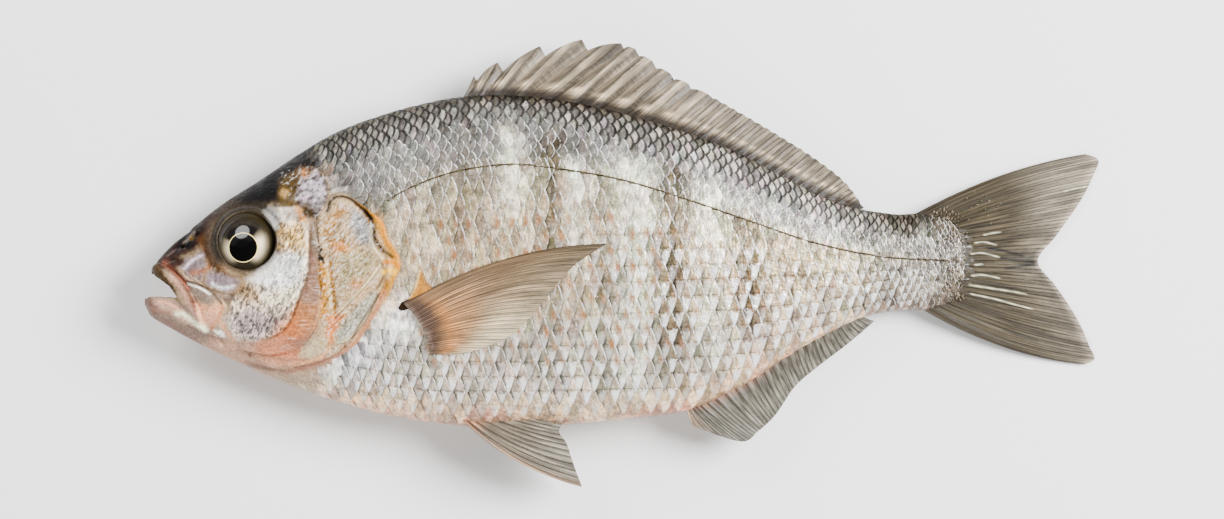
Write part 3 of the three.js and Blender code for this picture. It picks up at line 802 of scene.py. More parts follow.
class Shader:
    """A material with short ways to add and join its nodes."""

    def __init__(self, name):
        self.material = bpy.data.materials.new(name)
        self.material.use_nodes = True
        self.tree = self.material.node_tree
        self.body = self.tree.nodes["Principled BSDF"]

    def node(self, kind, inputs=None, **settings):
        made = self.tree.nodes.new(kind)
        for key, value in settings.items():
            setattr(made, key, value)
        for key, value in (inputs or {}).items():
            self.feed(made.inputs[key], value)
        return made

    def feed(self, socket, value):
        if isinstance(value, bpy.types.NodeSocket):
            self.tree.links.new(value, socket)
        elif socket.type == "RGBA":
            socket.default_value = (*value[:3], 1.0)
        else:
            socket.default_value = value

    def set(self, **inputs):
        for key, value in inputs.items():
            self.feed(self.body.inputs[key.replace("_", " ")], value)

    def wet(self, colour, metallic, coat, roughness, shine=0.25):
        self.set(Base_Color=colour, Roughness=roughness, Metallic=metallic, Coat_Weight=coat)
        self.body.inputs["Coat Roughness"].default_value = 0.12
        self.body.inputs["Specular IOR Level"].default_value = shine

    def math(self, operation, a, b=0.0):
        return self.node("ShaderNodeMath", {0: a, 1: b}, operation=operation).outputs[0]

    def times(self, a, b):
        return self.math("MULTIPLY", a, b)

    def sum(self, value, times, plus):
        """A value times a number plus a number."""
        return self.node("ShaderNodeMath", {0: value, 1: times, 2: plus}, operation="MULTIPLY_ADD").outputs[0]

    def span(self, value, low, high, to_low=0.0, to_high=1.0):
        inputs = {"Value": value, "From Min": low, "From Max": high, "To Min": to_low, "To Max": to_high}
        return self.node("ShaderNodeMapRange", inputs, interpolation_type="SMOOTHSTEP").outputs["Result"]

    def blend(self, factor, a, b):
        made = self.node("ShaderNodeMix", data_type="RGBA", clamp_factor=True)
        self.feed(made.inputs["Factor"], factor)
        self.feed(made.inputs["A"], a)
        self.feed(made.inputs["B"], b)
        return next(s for s in made.outputs if s.type == "RGBA")

    def place(self, stretch=(1, 1, 1), turn=0.0, uv=False):
        source = self.node("ShaderNodeTexCoord").outputs["UV" if uv else "Object"]
        inputs = {"Vector": source, "Scale": tuple(1 / k for k in stretch), "Rotation": (0, 0, turn)}
        return self.node("ShaderNodeMapping", inputs, vector_type="TEXTURE").outputs["Vector"]

    def noise(self, scale, detail=3.0, stretch=(1, 1, 1), uv=False, turn=0.0, distortion=0.0):
        inputs = {
            "Vector": self.place(stretch, turn, uv), "Scale": scale, "Detail": detail,
            "Distortion": distortion
        }
        return self.node("ShaderNodeTexNoise", inputs).outputs["Fac"]

    def mottle(self, colour, scale, darkest, lightest, detail=3.0, stretch=(1, 1, 1)):
        """The colour made uneven by the shared mottle effect, and the height of its spots."""
        inputs = {"Color": colour, "Vector": self.place(stretch), "Scale": scale, "Detail": detail}
        inputs |= {"Darkest": darkest, "Lightest": lightest}
        made = self.tree.nodes.new("ShaderNodeGroup")
        made.node_tree = mottle_group()
        for key, value in inputs.items():
            self.feed(made.inputs[key], value)
        return made.outputs["Color"], made.outputs["Height"]

    def scaled(self, colour, factor):
        """A colour made brighter or darker."""
        return self.node(
            "ShaderNodeVectorMath", {0: colour, "Scale": factor}, operation="SCALE"
        ).outputs["Vector"]

    def toned(self, colour, mask, bright):
        """A colour made that many times as bright where the mask shows."""
        return self.scaled(colour, self.span(mask, 0, 1, 1.0, bright))

    def bump(self, height, distance, strength=1.0, under=None):
        inputs = {"Height": height, "Distance": distance, "Strength": strength}
        made = self.node("ShaderNodeBump", inputs)
        if under is not None:
            self.feed(made.inputs["Normal"], under)
        return made.outputs["Normal"]

    def attribute(self, name, output="Color"):
        return self.node("ShaderNodeAttribute", attribute_name=name).outputs[output]

    def parts(self, colour):
        return self.node("ShaderNodeSeparateColor", {"Color": colour}).outputs

    def uv(self):
        found = self.node("ShaderNodeTexCoord").outputs["UV"]
        return self.node("ShaderNodeSeparateXYZ", {"Vector": found}).outputs


def mottle_group():
    """Shared effect: a colour made darker and lighter in soft spots. Built once."""
    if "mottle" in bpy.data.node_groups:
        return bpy.data.node_groups["mottle"]
    group = bpy.data.node_groups.new("mottle", "ShaderNodeTree")
    for name in ("Color", "Vector", "Scale", "Detail", "Darkest", "Lightest"):
        kind = name if name in ("Color", "Vector") else "Float"
        group.interface.new_socket(name=name, in_out="INPUT", socket_type="NodeSocket" + kind)
    group.interface.new_socket(name="Color", in_out="OUTPUT", socket_type="NodeSocketColor")
    group.interface.new_socket(name="Height", in_out="OUTPUT", socket_type="NodeSocketFloat")
    new, link = group.nodes.new, group.links.new
    given, result = new("NodeGroupInput").outputs, new("NodeGroupOutput").inputs
    noise, height, level = new("ShaderNodeTexNoise"), new("ShaderNodeMapRange"), new("ShaderNodeMapRange")
    scaled = new("ShaderNodeVectorMath")
    height.interpolation_type = "SMOOTHSTEP"
    scaled.operation = "SCALE"
    for key in ("Vector", "Scale", "Detail"):
        link(given[key], noise.inputs[key])
    link(noise.outputs["Fac"], height.inputs["Value"])
    height.inputs["From Min"].default_value = 0.36
    height.inputs["From Max"].default_value = 0.64
    link(height.outputs["Result"], level.inputs["Value"])
    link(given["Darkest"], level.inputs["To Min"])
    link(given["Lightest"], level.inputs["To Max"])
    link(given["Color"], scaled.inputs[0])
    link(level.outputs["Result"], scaled.inputs["Scale"])
    link(scaled.outputs["Vector"], result["Color"])
    link(height.outputs["Result"], result["Height"])
    return group


def skin_material(colours):
    """Bare wet skin. Its marks hold how far it shows small scales, wrinkles, flecks with painted glints and
    fine cross lines.
    """
    s = Shader("wet skin")
    marks = s.parts(s.attribute("marks"))
    scaly, creased, flecks_and_glints = marks["Red"], marks["Green"], marks["Blue"]
    lined = s.attribute("marks", "Alpha")
    base, blotch = s.mottle(s.attribute("tone"), 260, 0.9, 1.1, 5)
    base, fine = s.mottle(base, 1500, 0.8, 1.2)
    # wrinkles run obliquely, cross lines level
    wrinkle = s.noise(860, 4, (0.7, 1.7, 1.0), turn=0.85, distortion=0.7)
    base = s.toned(base, s.times(s.span(wrinkle, 0.47, 0.37), creased), 0.46)
    base = s.blend(s.times(s.span(wrinkle, 0.54, 0.64), s.times(creased, 0.42)), base, colours.pale_line)
    hatch = s.noise(700, 3, (0.35, 2.2, 1.0))
    base = s.toned(base, s.times(s.span(hatch, 0.56, 0.44), lined), 0.74)
    base = s.blend(s.times(s.span(hatch, 0.58, 0.7), s.times(lined, 0.24)), base, colours.pale_line)
    # small oblique scales with dark gaps, their middles brightened as painted highlights
    cell = s.noise(820, 2, (0.75, 1.45, 1.0), turn=1.1, distortion=0.4)
    gap = s.noise(1300, 3, (0.8, 1.4, 1.0), turn=1.1)
    base = s.toned(base, s.times(s.span(cell, 0.5, 0.42), scaly), 0.34)
    base = s.toned(base, s.times(s.span(gap, 0.45, 0.39), scaly), 0.4)
    base = s.toned(base, s.times(s.span(cell, 0.53, 0.62), scaly), 1.4)
    grain = s.noise(880, 4, (0.8, 1.4, 1), turn=0.9)
    # painted glints: white specks, then brown flecks
    base = s.blend(s.times(s.span(grain, 0.53, 0.68), s.times(flecks_and_glints, 0.5)), base, colours.glint)
    base = s.blend(s.times(s.span(grain, 0.46, 0.36), s.times(flecks_and_glints, 0.8)), base, colours.fleck)
    coat = s.span(s.parts(s.attribute("tone"))["Green"], 0.01, 0.08, 0.02, 0.16)
    s.wet(base, 0.05, coat, s.span(blotch, 0, 1, 0.34, 0.5), 0.06)
    normal = s.bump(fine, 0.00012, 0.5, s.bump(blotch, 0.0004, 0.45))
    normal = s.bump(cell, 0.0006, s.times(scaly, 0.6), normal)
    normal = s.bump(hatch, 0.0004, s.times(lined, 0.5), normal)
    s.set(Normal=s.bump(wrinkle, 0.0010, s.times(creased, 0.7), normal))
    return s.material


def scale_material(colours, name, gloss):
    """One scale's look: U runs from its front to its free edge, V across it.

    Its marks hold how far it shows a dark net, a painted white highlight below its middle (the tooth),
    and a rust spot, and its own chance.
    """
    s = Shader(name)
    uv = s.uv()
    along, q = uv["X"], s.sum(uv["Y"], 2.0, -1.0)
    off = s.math("ABSOLUTE", q)
    marks = s.parts(s.attribute("marks"))
    net, tooth_highlight, rust = marks["Red"], marks["Green"], marks["Blue"]
    chance, clear = s.attribute("marks", "Alpha"), s.attribute("tone", "Alpha")
    flank = s.math("SUBTRACT", 1.0, net)
    base, cloud = s.mottle(s.attribute("tone"), 380, 0.7, 1.28, 3)
    base, speckle = s.mottle(base, 1900, 0.89, 1.11, 2)
    base, streak = s.mottle(base, 700, 0.74, 1.26, 2, (1.7, 0.5, 1))
    # darker where the tooth highlight shows, so that it stands out
    base = s.toned(base, tooth_highlight, 0.66)
    ragged = s.noise(1300, 3)
    # painted highlight, a white tooth: the half below the middle, ragged and different on each scale
    low = s.math("ADD", q, s.sum(ragged, 0.9, -0.45))
    lit = s.times(s.span(low, 0.04, -0.18), s.span(low, -1.05, -0.66))
    lit = s.times(lit, s.span(s.math("ADD", along, s.times(cloud, 0.25)), 0.55, 0.85))
    lit = s.times(lit, s.times(tooth_highlight, s.span(chance, 0.05, 0.95, 0.25, 0.9)))
    base = s.blend(lit, base, colours.glint)
    centre = s.span(s.math("ABSOLUTE", s.math("SUBTRACT", q, 0.05)), 0.08, 0.02)
    middle = s.times(centre, s.times(tooth_highlight, s.span(ragged, 0.35, 0.6)))
    base = s.toned(base, middle, 0.42)
    # painted shadow in the valley beside the two scales in front
    front = s.math("SUBTRACT", along, s.sum(off, 0.3, 0.37))
    base = s.toned(base, s.times(s.span(front, 0.15, 0.02), s.times(clear, s.sum(tooth_highlight, 0.55, 0.45))), 0.34)
    # free edge: a thin, broken pale line on the flank, which is a painted highlight, and broad and dark on
    # the back
    broken = s.times(s.span(s.noise(620, 3), 0.38, 0.54), s.span(chance, 0, 1, 0.6, 1.0))
    rim = s.times(
        s.span(s.math("ADD", along, s.sum(ragged, 0.1, -0.05)), 0.905, 0.95), s.times(flank, broken)
    )
    rim = s.times(rim, s.math("MAXIMUM", s.span(q, -0.25, 0.2), s.math("SUBTRACT", 0.6, tooth_highlight)))
    base = s.blend(s.times(rim, s.times(clear, 0.9)), base, colours.glint)
    # painted shade: a dark line along the free edge's lower half, where the tooth highlight shows
    under = s.times(s.span(along, 0.93, 0.97), s.times(s.span(q, 0.0, -0.2), tooth_highlight))
    base = s.toned(base, under, 0.36)
    edge = s.math("ADD", along, s.sum(ragged, 0.1, -0.05))
    base = s.toned(base, s.times(s.span(edge, 0.8, 0.86), net), 0.22)
    cell = s.times(s.times(s.span(along, 0.34, 0.5), s.span(edge, 0.84, 0.76)), net)
    base = s.toned(base, s.times(cell, s.span(chance, 0, 1, 0.35, 1.0)), 2.0)
    spot = s.times(s.span(along, 0.6, 0.85), s.span(s.math("ADD", off, s.sum(ragged, 0.4, -0.2)), 0.5, 0.1))
    base = s.blend(s.times(spot, rust), base, colours.rust)
    s.wet(base, 0.3 * gloss, 0.15 * gloss, s.span(speckle, 0, 1, 0.26, 0.46), 0.3 * gloss)
    s.set(Normal=s.bump(speckle, 0.00012, 0.25, s.bump(cloud, 0.0004, 0.5, s.bump(streak, 0.0002, 0.4))))
    return s.material


def fin_material(name, colours, fineness):
    """Thin fin: U counts the rays, V runs from root to edge. Marks add brown in red, pale slits in green."""
    s = Shader(name)
    uv = s.uv()
    ray, share = uv["X"], uv["Y"]
    marks = s.parts(s.attribute("marks"))

    def lines(times, low, high):
        turned = s.math("FRACT", s.times(ray, times))
        return s.span(s.times(s.math("ABSOLUTE", s.math("SUBTRACT", turned, 0.5)), 2.0), low, high)

    far = s.span(share, 0.3, 0.6)
    near = s.math("SUBTRACT", 1.0, far)
    dark = s.math(
        "ADD", s.times(lines(fineness, 0.62, 0.92), near), s.times(lines(2 * fineness, 0.5, 0.9), far)
    )
    pale = s.times(lines(fineness, 0.35, 0.1), s.span(share, 0.1, 0.3))
    joint = s.span(s.noise(1.0, 3, (3.0, 26.0, 1), uv=True), 0.4, 0.62)
    streak = s.span(s.noise(1.0, 4, (4.0, 1.6, 1), uv=True), 0.35, 0.65)
    hair = s.span(s.noise(1.0, 3, (22.0, 2.2, 1), uv=True), 0.38, 0.62)
    smoke = s.span(s.noise(1.0, 3, (1.1, 2.4, 1), uv=True), 0.38, 0.62)
    base = s.scaled(s.attribute("tone"), s.span(streak, 0, 1, 0.62, 1.3))
    base = s.scaled(base, s.span(smoke, 0, 1, 0.78, 1.18))
    base = s.scaled(base, s.span(hair, 0, 1, 0.68, 1.28))
    base = s.toned(base, s.times(dark, s.span(joint, 0, 1, 0.6, 1.0)), 0.34)
    base = s.toned(base, s.times(pale, streak), 1.3)
    base = s.blend(marks["Red"], base, colours.fin_dark)
    base = s.blend(marks["Green"], base, colours.fin_pale)
    s.wet(base, 0.05, 0.1, s.span(streak, 0, 1, 0.36, 0.5))
    s.set(Normal=s.bump(dark, 0.00025, 0.6, s.bump(hair, 0.00015, 0.5)))
    return s.material


def eye_material(colours):
    """Wet eyeball: black pupil, thin cream ring, and an iris silver at its sides and dark above and below."""
    s = Shader("wet eye")
    place = s.parts(s.attribute("tone"))
    far, dark, out = place["Red"], place["Green"], place["Blue"]
    streaks = s.noise(300, 5, distortion=0.6)
    rings = s.math("ADD", out, s.sum(streaks, 0.16, -0.08))
    iris = s.blend(s.span(rings, 0.6, 0.86), colours.iris, colours.iris_rim)
    iris = s.blend(s.times(dark, s.span(rings, 0.98, 0.62, 0.86, 1.0)), iris, colours.iris_dark)
    iris = s.scaled(iris, s.span(streaks, 0.35, 0.65, 0.74, 1.2))
    iris = s.blend(s.times(s.span(out, 0.82, 0.97), 0.92), iris, colours.iris_edge)
    gold = s.blend(s.span(far, 0.55, 0.537), iris, colours.gold)
    pupil = s.blend(s.span(far, 0.527, 0.507), gold, colours.pupil)
    coat = s.times(s.span(far, 0.22, 0.42, 0.15, 0.8), s.attribute("tone", "Alpha"))
    s.set(Base_Color=pupil, Coat_Weight=coat, Roughness=0.6)
    s.body.inputs["Coat Roughness"].default_value = 0.07
    s.body.inputs["Specular IOR Level"].default_value = 0.0
    s.set(Normal=s.bump(streaks, 0.0002, 0.15))
    return s.material


def board_material(colours):
    """Plain pale board with a very faint grain."""
    s = Shader("pale board")
    grain = s.span(s.noise(6, 3), 0.3, 0.7)
    base = s.blend(s.times(grain, 0.15), colours.board, colours.board_shade)
    s.set(Base_Color=base, Roughness=0.7)
    return s.material


# ---- What a user can change


def length_property(name, description, millimetres):
    default = millimetres * MM
    return FloatProperty(
        name=name, description=description, default=default, subtype="DISTANCE", unit="LENGTH"
    )


class FishSizes(bpy.types.PropertyGroup):
    scale_length: length_property(
        "Scale length", "Whole length of a flank scale, its covered part included", 4.9
    )
    scale_half_height: length_property("Scale half height", "Middle of a flank scale to its top", 4.6)
    scale_rise: length_property("Scale rise", "How far a scale's free edge stands off the skin", 0.55)
    flap_rise: length_property(
        "Gill flap rise", "How far the gill cover's free edge stands off the flank", 1.5
    )
    cheek_rise: length_property("Cheek rise", "How far the cheek plate stands off the gill cover", 1.9)
    ray_half: length_property("Ray half thickness", "Half thickness of a fin at a ray's root", 0.75)
    web_half: length_property("Web half thickness", "Half thickness of the skin between two rays", 0.3)
    edge_half: length_property("Edge half thickness", "Half thickness of a fin at its edge", 0.14)
    wave: length_property("Fin wave", "How far a fin waves up and down", 0.35)


def colour_property(name, description, red, green, blue):
    default = linear(red, green, blue)
    return FloatVectorProperty(
        name=name, description=description, subtype="COLOR", size=3, min=0, max=1, default=default
    )


class FishColours(bpy.types.PropertyGroup):
    glint: colour_property("Glint", "Nearly white edges and folds of scales", 236, 233, 228)
    pale_line: colour_property("Pale line", "Creases of the gill covers", 232, 229, 224)
    fleck: colour_property("Fleck", "Brown flecks of the head", 92, 76, 57)
    rust: colour_property("Rust", "Orange-brown spots between flank scales", 198, 152, 98)
    fin_dark: colour_property("Fin dark", "Brown of the fin rays", 106, 92, 74)
    fin_pale: colour_property("Fin pale", "Pale slits and edges of the fins", 226, 221, 212)
    iris: colour_property("Iris", "Silver of the iris near the pupil", 218, 212, 200)
    iris_rim: colour_property("Iris rim", "Olive silver of the iris's outer part", 148, 139, 120)
    iris_edge: colour_property("Iris edge", "Grey-olive ring at the eye's edge", 72, 64, 52)
    iris_dark: colour_property("Iris dark", "Dark olive above and below the pupil", 50, 44, 32)
    gold: colour_property("Gold ring", "Thin ring round the pupil", 226, 216, 194)
    pupil: colour_property("Pupil", "Black of the pupil", 8, 9, 12)
    board: colour_property("Board", "Pale floor", 240, 240, 240)
    board_shade: colour_property("Board shade", "Faint grain of the floor", 228, 228, 228)


# ---- Skin of head and trunk

SEAM = 29  # the head's skin ends here, under the scales
TRUNK_SINK = -0.25  # height of the trunk's skin over the drawn one, in millimetres
MOUTH_GAP = [
    [-2, -1.6], [0.7, -0.85], [1.1, -1.45], [1.9, -2], [2.6, -2.5], [3.05, -3.05], [3.35, -3.55],
    [3.4, -3.75],
    [2.5, -3.72], [1.7, -3.62], [0.5, -3.64], [0.1, -3.85], [-2, -3.9],
]
GROOVES = [  # line on the finer sheet, width in its steps, height in millimetres
    ([(312, 232), (310, 274), (302, 293), (294, 316), (283, 331), (264, 338), (240, 339)], 2.2, -0.45),
    ([(240, 350), (270, 358), (300, 361), (326, 354)], 2, -0.35),
    ([(214, 346), (250, 362), (290, 372)], 2, -0.3),
    ([(150, 304), (170, 317), (196, 331), (224, 344)], 2.5, -0.3),
    ([(184, 262), (206, 256)], 2, -0.3),
    ([(186, 274), (200, 284), (218, 293), (238, 296)], 1.8, -0.5),
    ([(216, 272), (214, 290)], 1.5, -0.25),
    ([(176, 250), (190, 232)], 2.5, -0.4),
    ([(180, 254), (200, 232)], 1.6, 0.35),
    ([(292, 206), (310, 205), (330, 208)], 3, -0.6),
    ([(296, 176), (318, 168), (340, 176), (350, 190)], 2.5, -0.3),
    ([(345, 247), (352, 262), (356, 280)], 4, 0.3),
    ([(385, 258), (368, 283), (354, 300), (341, 315)], 1.6, 0.35),
    ([(330, 258), (332, 285), (337, 318)], 3, -0.5),
    ([
        (366, 212), (374, 226), (376, 244), (386, 258), (386, 276), (378, 296), (366, 320), (350, 340),
        (332, 348),
    ], 2.2, -0.5),
]
EYE_RIM, EYE_GROOVE = 7.95, 9.1  # radii in millimetres of the raised rim and of the groove round it
PITS = [((183.5, 246), 2.6, -1.2), ((192, 238), 2.2, -1.0), ((198, 234), 1.8, -0.8)]


def relief(along, above):
    """Fine form of the head in millimetres: grooves, folds, nostrils and the rim of the eye."""
    height = np.zeros(np.shape(along))
    for points, width, depth in GROOVES:
        height += depth * stroke_mask(sheet(points), width / FINE, along, above)
    for place, radius, depth in PITS:
        x, y = sheet(place)
        height += depth * np.exp(-((np.hypot(along - x, above - y) * FINE / radius) ** 4))
    x, y = sheet(EYE_PLACE)
    far = np.hypot(along - x, above - y) * UNIT
    height += 0.7 * hump(far, EYE_RIM, 0.5) - 0.45 * hump(far, EYE_GROOVE, 0.5)
    height -= 2.6 * (1 - between(far, 6.6, 7.6))
    return height * between(along, 0, 1.5)


def body_rings(stations, turns_left, turns_right, lift):
    """Rings of skin: up the left flank from belly to back, and down the right."""
    rings = []
    for side, turns in ((1, turns_left), (-1, turns_right[::-1])):
        along, turn = np.meshgrid(stations, turns[:-1], indexing="ij")
        points = section(along, turn, side)
        above = points[..., 1] / UNIT + AXIS_DROP
        rings.append(skin(along, turn, side, lift(along, above)))
    return np.concatenate(rings, axis=1)


def head_skin(material):
    stations = np.concatenate([np.linspace(0, 2, 18)[:-1], np.linspace(2, SEAM, 225)])
    left = np.linspace(-math.pi / 2, math.pi / 2, 221)
    right = np.linspace(-math.pi / 2, math.pi / 2, 101)
    points, faces = loft(body_rings(stations, left, right, relief))
    piece = place_mesh("head_skin", points, faces, material)
    cut(piece, blade("mouth_wedge", MOUTH_GAP, 40))
    cut(piece, egg("mouth_hollow", (4.2, -4.6, 0), (7.5, 2.2, 3.8), (0, 0, -0.75)))
    finish_piece(piece, material)
    along, above = drawn_of(points_of(piece.data))
    dress(piece.data, "tone", head_colour(along, above))
    dress(piece.data, "marks", head_marks(along, above))


def blade(name, outline, half):
    """Upright block over a drawn outline, for cutting."""
    drawn = np.array(outline, float)
    rim = np.stack([(drawn[:, 0] - 50) * UNIT, (drawn[:, 1] - AXIS_DROP) * UNIT], -1)
    count = len(rim)
    points = np.vstack([np.column_stack([rim, np.full(count, z)]) for z in (-half, half)])
    faces = [list(range(count))[::-1], [count + i for i in range(count)]]
    faces += [[i, (i + 1) % count, count + (i + 1) % count, count + i] for i in range(count)]
    mesh = bpy.data.meshes.new(name)
    mesh.from_pydata((points * MM).tolist(), [], faces)
    if volume_of(mesh) < 0:
        mesh.flip_normals()
    tool = bpy.data.objects.new(name, mesh)
    bpy.context.scene.collection.objects.link(tool)
    return tool


def egg(name, place, radii, turns=(0, 0, 0), segments=48, rings=32):
    """Ellipsoid at a drawn place, its radii in millimetres, mirrored on the right side."""
    bpy.ops.object.select_all(action="DESELECT")
    bpy.ops.mesh.primitive_uv_sphere_add(segments=segments, ring_count=rings, radius=1)
    piece = bpy.context.active_object
    piece.name = name
    along, above, across = place
    centre = ((along - 50) * UNIT, (above - AXIS_DROP) * UNIT, float(mid_height(along)) + across)
    places = points_of(piece.data) * np.array(radii) @ np.array(Euler(turns, "XYZ").to_matrix()).T
    if across < 0:
        places[:, 2] *= -1
    piece.data.vertices.foreach_set("co", ((places + centre) * MM).ravel())
    if across < 0:
        piece.data.flip_normals()
    piece.data.update()
    return piece


def cut(piece, tool):
    """Takes the tool's shape out of a piece."""
    select_only(piece)
    difference = piece.modifiers.new("cut", "BOOLEAN")
    difference.operation = "DIFFERENCE"
    difference.solver = "EXACT"
    difference.object = tool
    bpy.ops.object.modifier_apply(modifier=difference.name)
    bpy.data.objects.remove(tool)


def trunk_skin(material):
    stations = np.concatenate([np.linspace(SEAM - 3, 80, 80)[:-1], np.linspace(80, BODY_END, 16)])
    turns = np.linspace(-math.pi / 2, math.pi / 2, 61)
    points, faces = loft(body_rings(
        stations, turns, turns, lambda along, above: np.full(np.shape(along), TRUNK_SINK)
    ))
    piece = place_mesh("trunk_skin", points, faces, material)
    # the skin under the scales is painted at 0.6 of the flank's colour, as shade under them
    dress(piece.data, "tone", flank_colour(*drawn_of(points_of(piece.data))) * 0.6)


class FISH_OT_skin(bpy.types.Operator):
    """Makes the bare skin of the head, with its mouth, and the trunk's skin under the scales"""

    bl_idname = "fish.skin"
    bl_label = "Skin of head and trunk"

    def execute(self, context):
        material = skin_material(context.scene.fish_colours)
        head_skin(material)
        trunk_skin(material)
        return {"FINISHED"}


# ---- Plates of the head

GILL_FRONT = [
    (318, 207), (319, 222), (321, 246), (323, 284), (321, 313), (313, 336), (296, 350), (272, 356),
    (250, 352),
]
GILL_REAR = [
    (329, 204), (334, 196), (342, 194.5), (350.5, 196), (357, 200), (365, 206), (376.5, 215), (383, 220.5),
    (387, 227), (390, 237), (396, 246.5), (401, 255), (402.5, 263), (401, 271), (396, 281), (390.5, 294.6),
    (382, 309), (371.6, 322.6), (361, 340), (350.5, 349), (340, 356), (331, 359), (312, 366), (292.6, 370),
    (273.5, 368), (255, 361),
]
CHEEK_FRONT = [(298, 213), (284, 232), (279, 262), (266, 288), (254, 308), (244, 324), (237, 335)]
CHEEK_REAR = [
    (312, 212), (315, 222), (321, 246), (323.5, 262), (323.5, 284), (321.5, 313), (314, 332), (300, 345),
    (280, 352), (258, 351), (240, 345),
]
LIP_FRONT = [(151, 269), (158, 276), (167, 282.5), (174, 291), (181, 302), (190, 314), (199, 325)]
LIP_REAR = [(158, 262), (168, 266), (177, 273), (186, 282), (194, 293), (201, 308), (205, 325)]
MAXILLA_FRONT = [(166, 263), (178, 273), (189, 286), (197, 299), (204, 314), (210, 327)]
MAXILLA_REAR = [(176, 259), (190, 273), (207, 286), (224, 299), (229, 310), (224, 331)]
JAW_FRONT = [(146, 298.5), (160, 297.5), (176, 299), (190, 311), (205, 325), (219, 337)]
JAW_REAR = [(150, 312), (162, 320), (178, 329), (196, 339), (212, 347), (226, 352)]


def axil_colour(along, above):
    """Hollow below painted black as shade, gold fold above."""
    p = Paint(along, above)
    p.over(1, (206, 168, 108))
    p.stroke([(424, 274), (430, 286), (438, 294)], 2.4, (170, 128, 72), 0.9)
    p.stroke([(421, 270), (417, 284), (410, 298)], 1.6, (224, 212, 188), 0.8)
    p.stroke([(414, 300), (424, 300), (436, 298)], 2.5, (196, 138, 84), 0.8)
    # painted shadow: the hollow under the fold, near black
    p.patch([(396, 312), (402, 298), (412, 298), (420, 302), (420, 310), (404, 314)], 1.2, (20, 15, 14), 0.97)
    return p.colour


def plate(name, front, rear, side, rise, material, columns=60, rows=150, rounding=0.04, colour=head_colour):
    """Thin closed plate between a front and a rear route; rise gives its height by share and place."""
    along_rows = np.linspace(0, 1, rows)
    ahead, behind = route(sheet(front), even=True)(along_rows), route(sheet(rear), even=True)(along_rows)
    share = np.concatenate([np.linspace(0, 0.9, columns)[:-1], np.linspace(0.9, 1, 14)])
    drawn = mix(ahead[None], behind[None], share[:, None, None])
    ends = np.minimum(1, np.minimum(along_rows, 1 - along_rows) / 0.05)[None, :]
    lift = rise(share[:, None], along_rows[None, :]) + relief(drawn[..., 0], drawn[..., 1])
    roll = np.sqrt(np.clip(1 - (np.clip(share - (1 - rounding), 0, 1) / rounding) ** 2, 0, 1))[:, None]
    lift = mix(-0.2, lift, roll * np.sqrt(ends))
    top = on_skin(drawn, side, lift)
    bottom = on_skin(drawn, side, np.minimum(lift - 0.3, -0.6))
    points, faces = slab(top, bottom)
    spots = [np.tile(v.ravel(), 2) for v in (drawn[..., 0], drawn[..., 1])]
    place_mesh(name, points, faces, material, tone=colour(*spots), marks=head_marks(*spots))


AXIL_FRONT = [(399, 309), (403, 302), (409, 299), (415, 290), (418, 280), (421, 269)]
AXIL_REAR = [(402, 311), (420, 306), (436, 300), (438, 292), (430, 284), (424, 271)]


class FISH_OT_plates(bpy.types.Operator):
    """Makes the gill covers with their soft flaps, the cheek plates and the folds above the breast fins"""

    bl_idname = "fish.plates"
    bl_label = "Gill covers and cheeks"

    def execute(self, context):
        sizes = context.scene.fish_sizes
        material = bpy.data.materials["wet skin"]
        flap, cheek = sizes.flap_rise / MM, sizes.cheek_rise / MM

        def cover_rise(u, v):
            free = mix(0.2, flap * (1 - 0.5 * between(v, 0.66, 0.9)), ease(u))
            return free - 0.35 * between(u, 0.84, 0.9)

        def axil_rise(u, v):
            return 0.85 + 0.35 * np.sin(np.pi * u) + 0.4 * v * (1 - v)

        def cheek_rise(u, v):
            return mix(-0.3, cheek * 0.6, ease(u * 1.6))

        for side, word in SIDES:
            plate(f"gill_cover_{word}", GILL_FRONT, GILL_REAR, side, cover_rise, material, 100, 210)
            plate(f"axil_{word}", AXIL_FRONT, AXIL_REAR, side, axil_rise, material, 24, 40, 0.2, axil_colour)
            plate(f"cheek_{word}", CHEEK_FRONT, CHEEK_REAR, side, cheek_rise, material, rounding=0.03)
        return {"FINISHED"}


def maxilla_rise(u, v):
    return 0.15 + 0.75 * np.sin(np.pi * u * 0.8)


def lip_rise(u, v):
    return 0.2 + 0.9 * np.sin(np.pi * u) ** 0.7


def jaw_rise(u, v):
    return 0.1 + 0.55 * np.sin(np.pi * u) ** 0.7


class FISH_OT_jaws(bpy.types.Operator):
    """Makes the lips, upper jaw plates and lower jaws"""

    bl_idname = "fish.jaws"
    bl_label = "Jaws and lips"

    def execute(self, context):
        material = bpy.data.materials["wet skin"]
        for side, word in SIDES:
            plate(f"maxilla_{word}", MAXILLA_FRONT, MAXILLA_REAR, side, maxilla_rise, material, 26, 60, 0.12)
            plate(f"lip_{word}", LIP_FRONT, LIP_REAR, side, lip_rise, material, 22, 60, 0.1)
            plate(f"jaw_{word}", JAW_FRONT, JAW_REAR, side, jaw_rise, material, 22, 60, 0.1)
        return {"FINISHED"}


# ---- Scales

# Rows above the lateral line run along it; rows below run level and end at it.
# Each kind: pitch along a row in hundredths, gap between rows in millimetres.
UPPER_PITCH = profile([
    [12, 0.9], [20, 1.02], [27, 1.15], [34, 1.24], [50, 1.26], [62, 1.15], [72, 1.02], [78, 0.84], [83, 0.62],
    [88, 0.52],
])
UPPER_GAP = profile([
    [12, 1.75], [20, 1.95], [30, 2.2], [50, 2.25], [62, 2.0], [72, 1.8], [78, 1.5], [83, 1.12], [88, 0.95],
])
LOWER_PITCH = profile([
    [12, 1.0], [20, 1.15], [27, 1.35], [34, 1.46], [56, 1.46], [66, 1.4], [76, 1.1], [80, 0.84], [84, 0.62],
    [88, 0.54],
])
LOWER_GAP = profile([
    [12, 3.0], [20, 3.4], [30, 4.0], [56, 4.1], [66, 3.9], [76, 2.9], [80, 2.0], [84, 1.35], [88, 1.1],
])
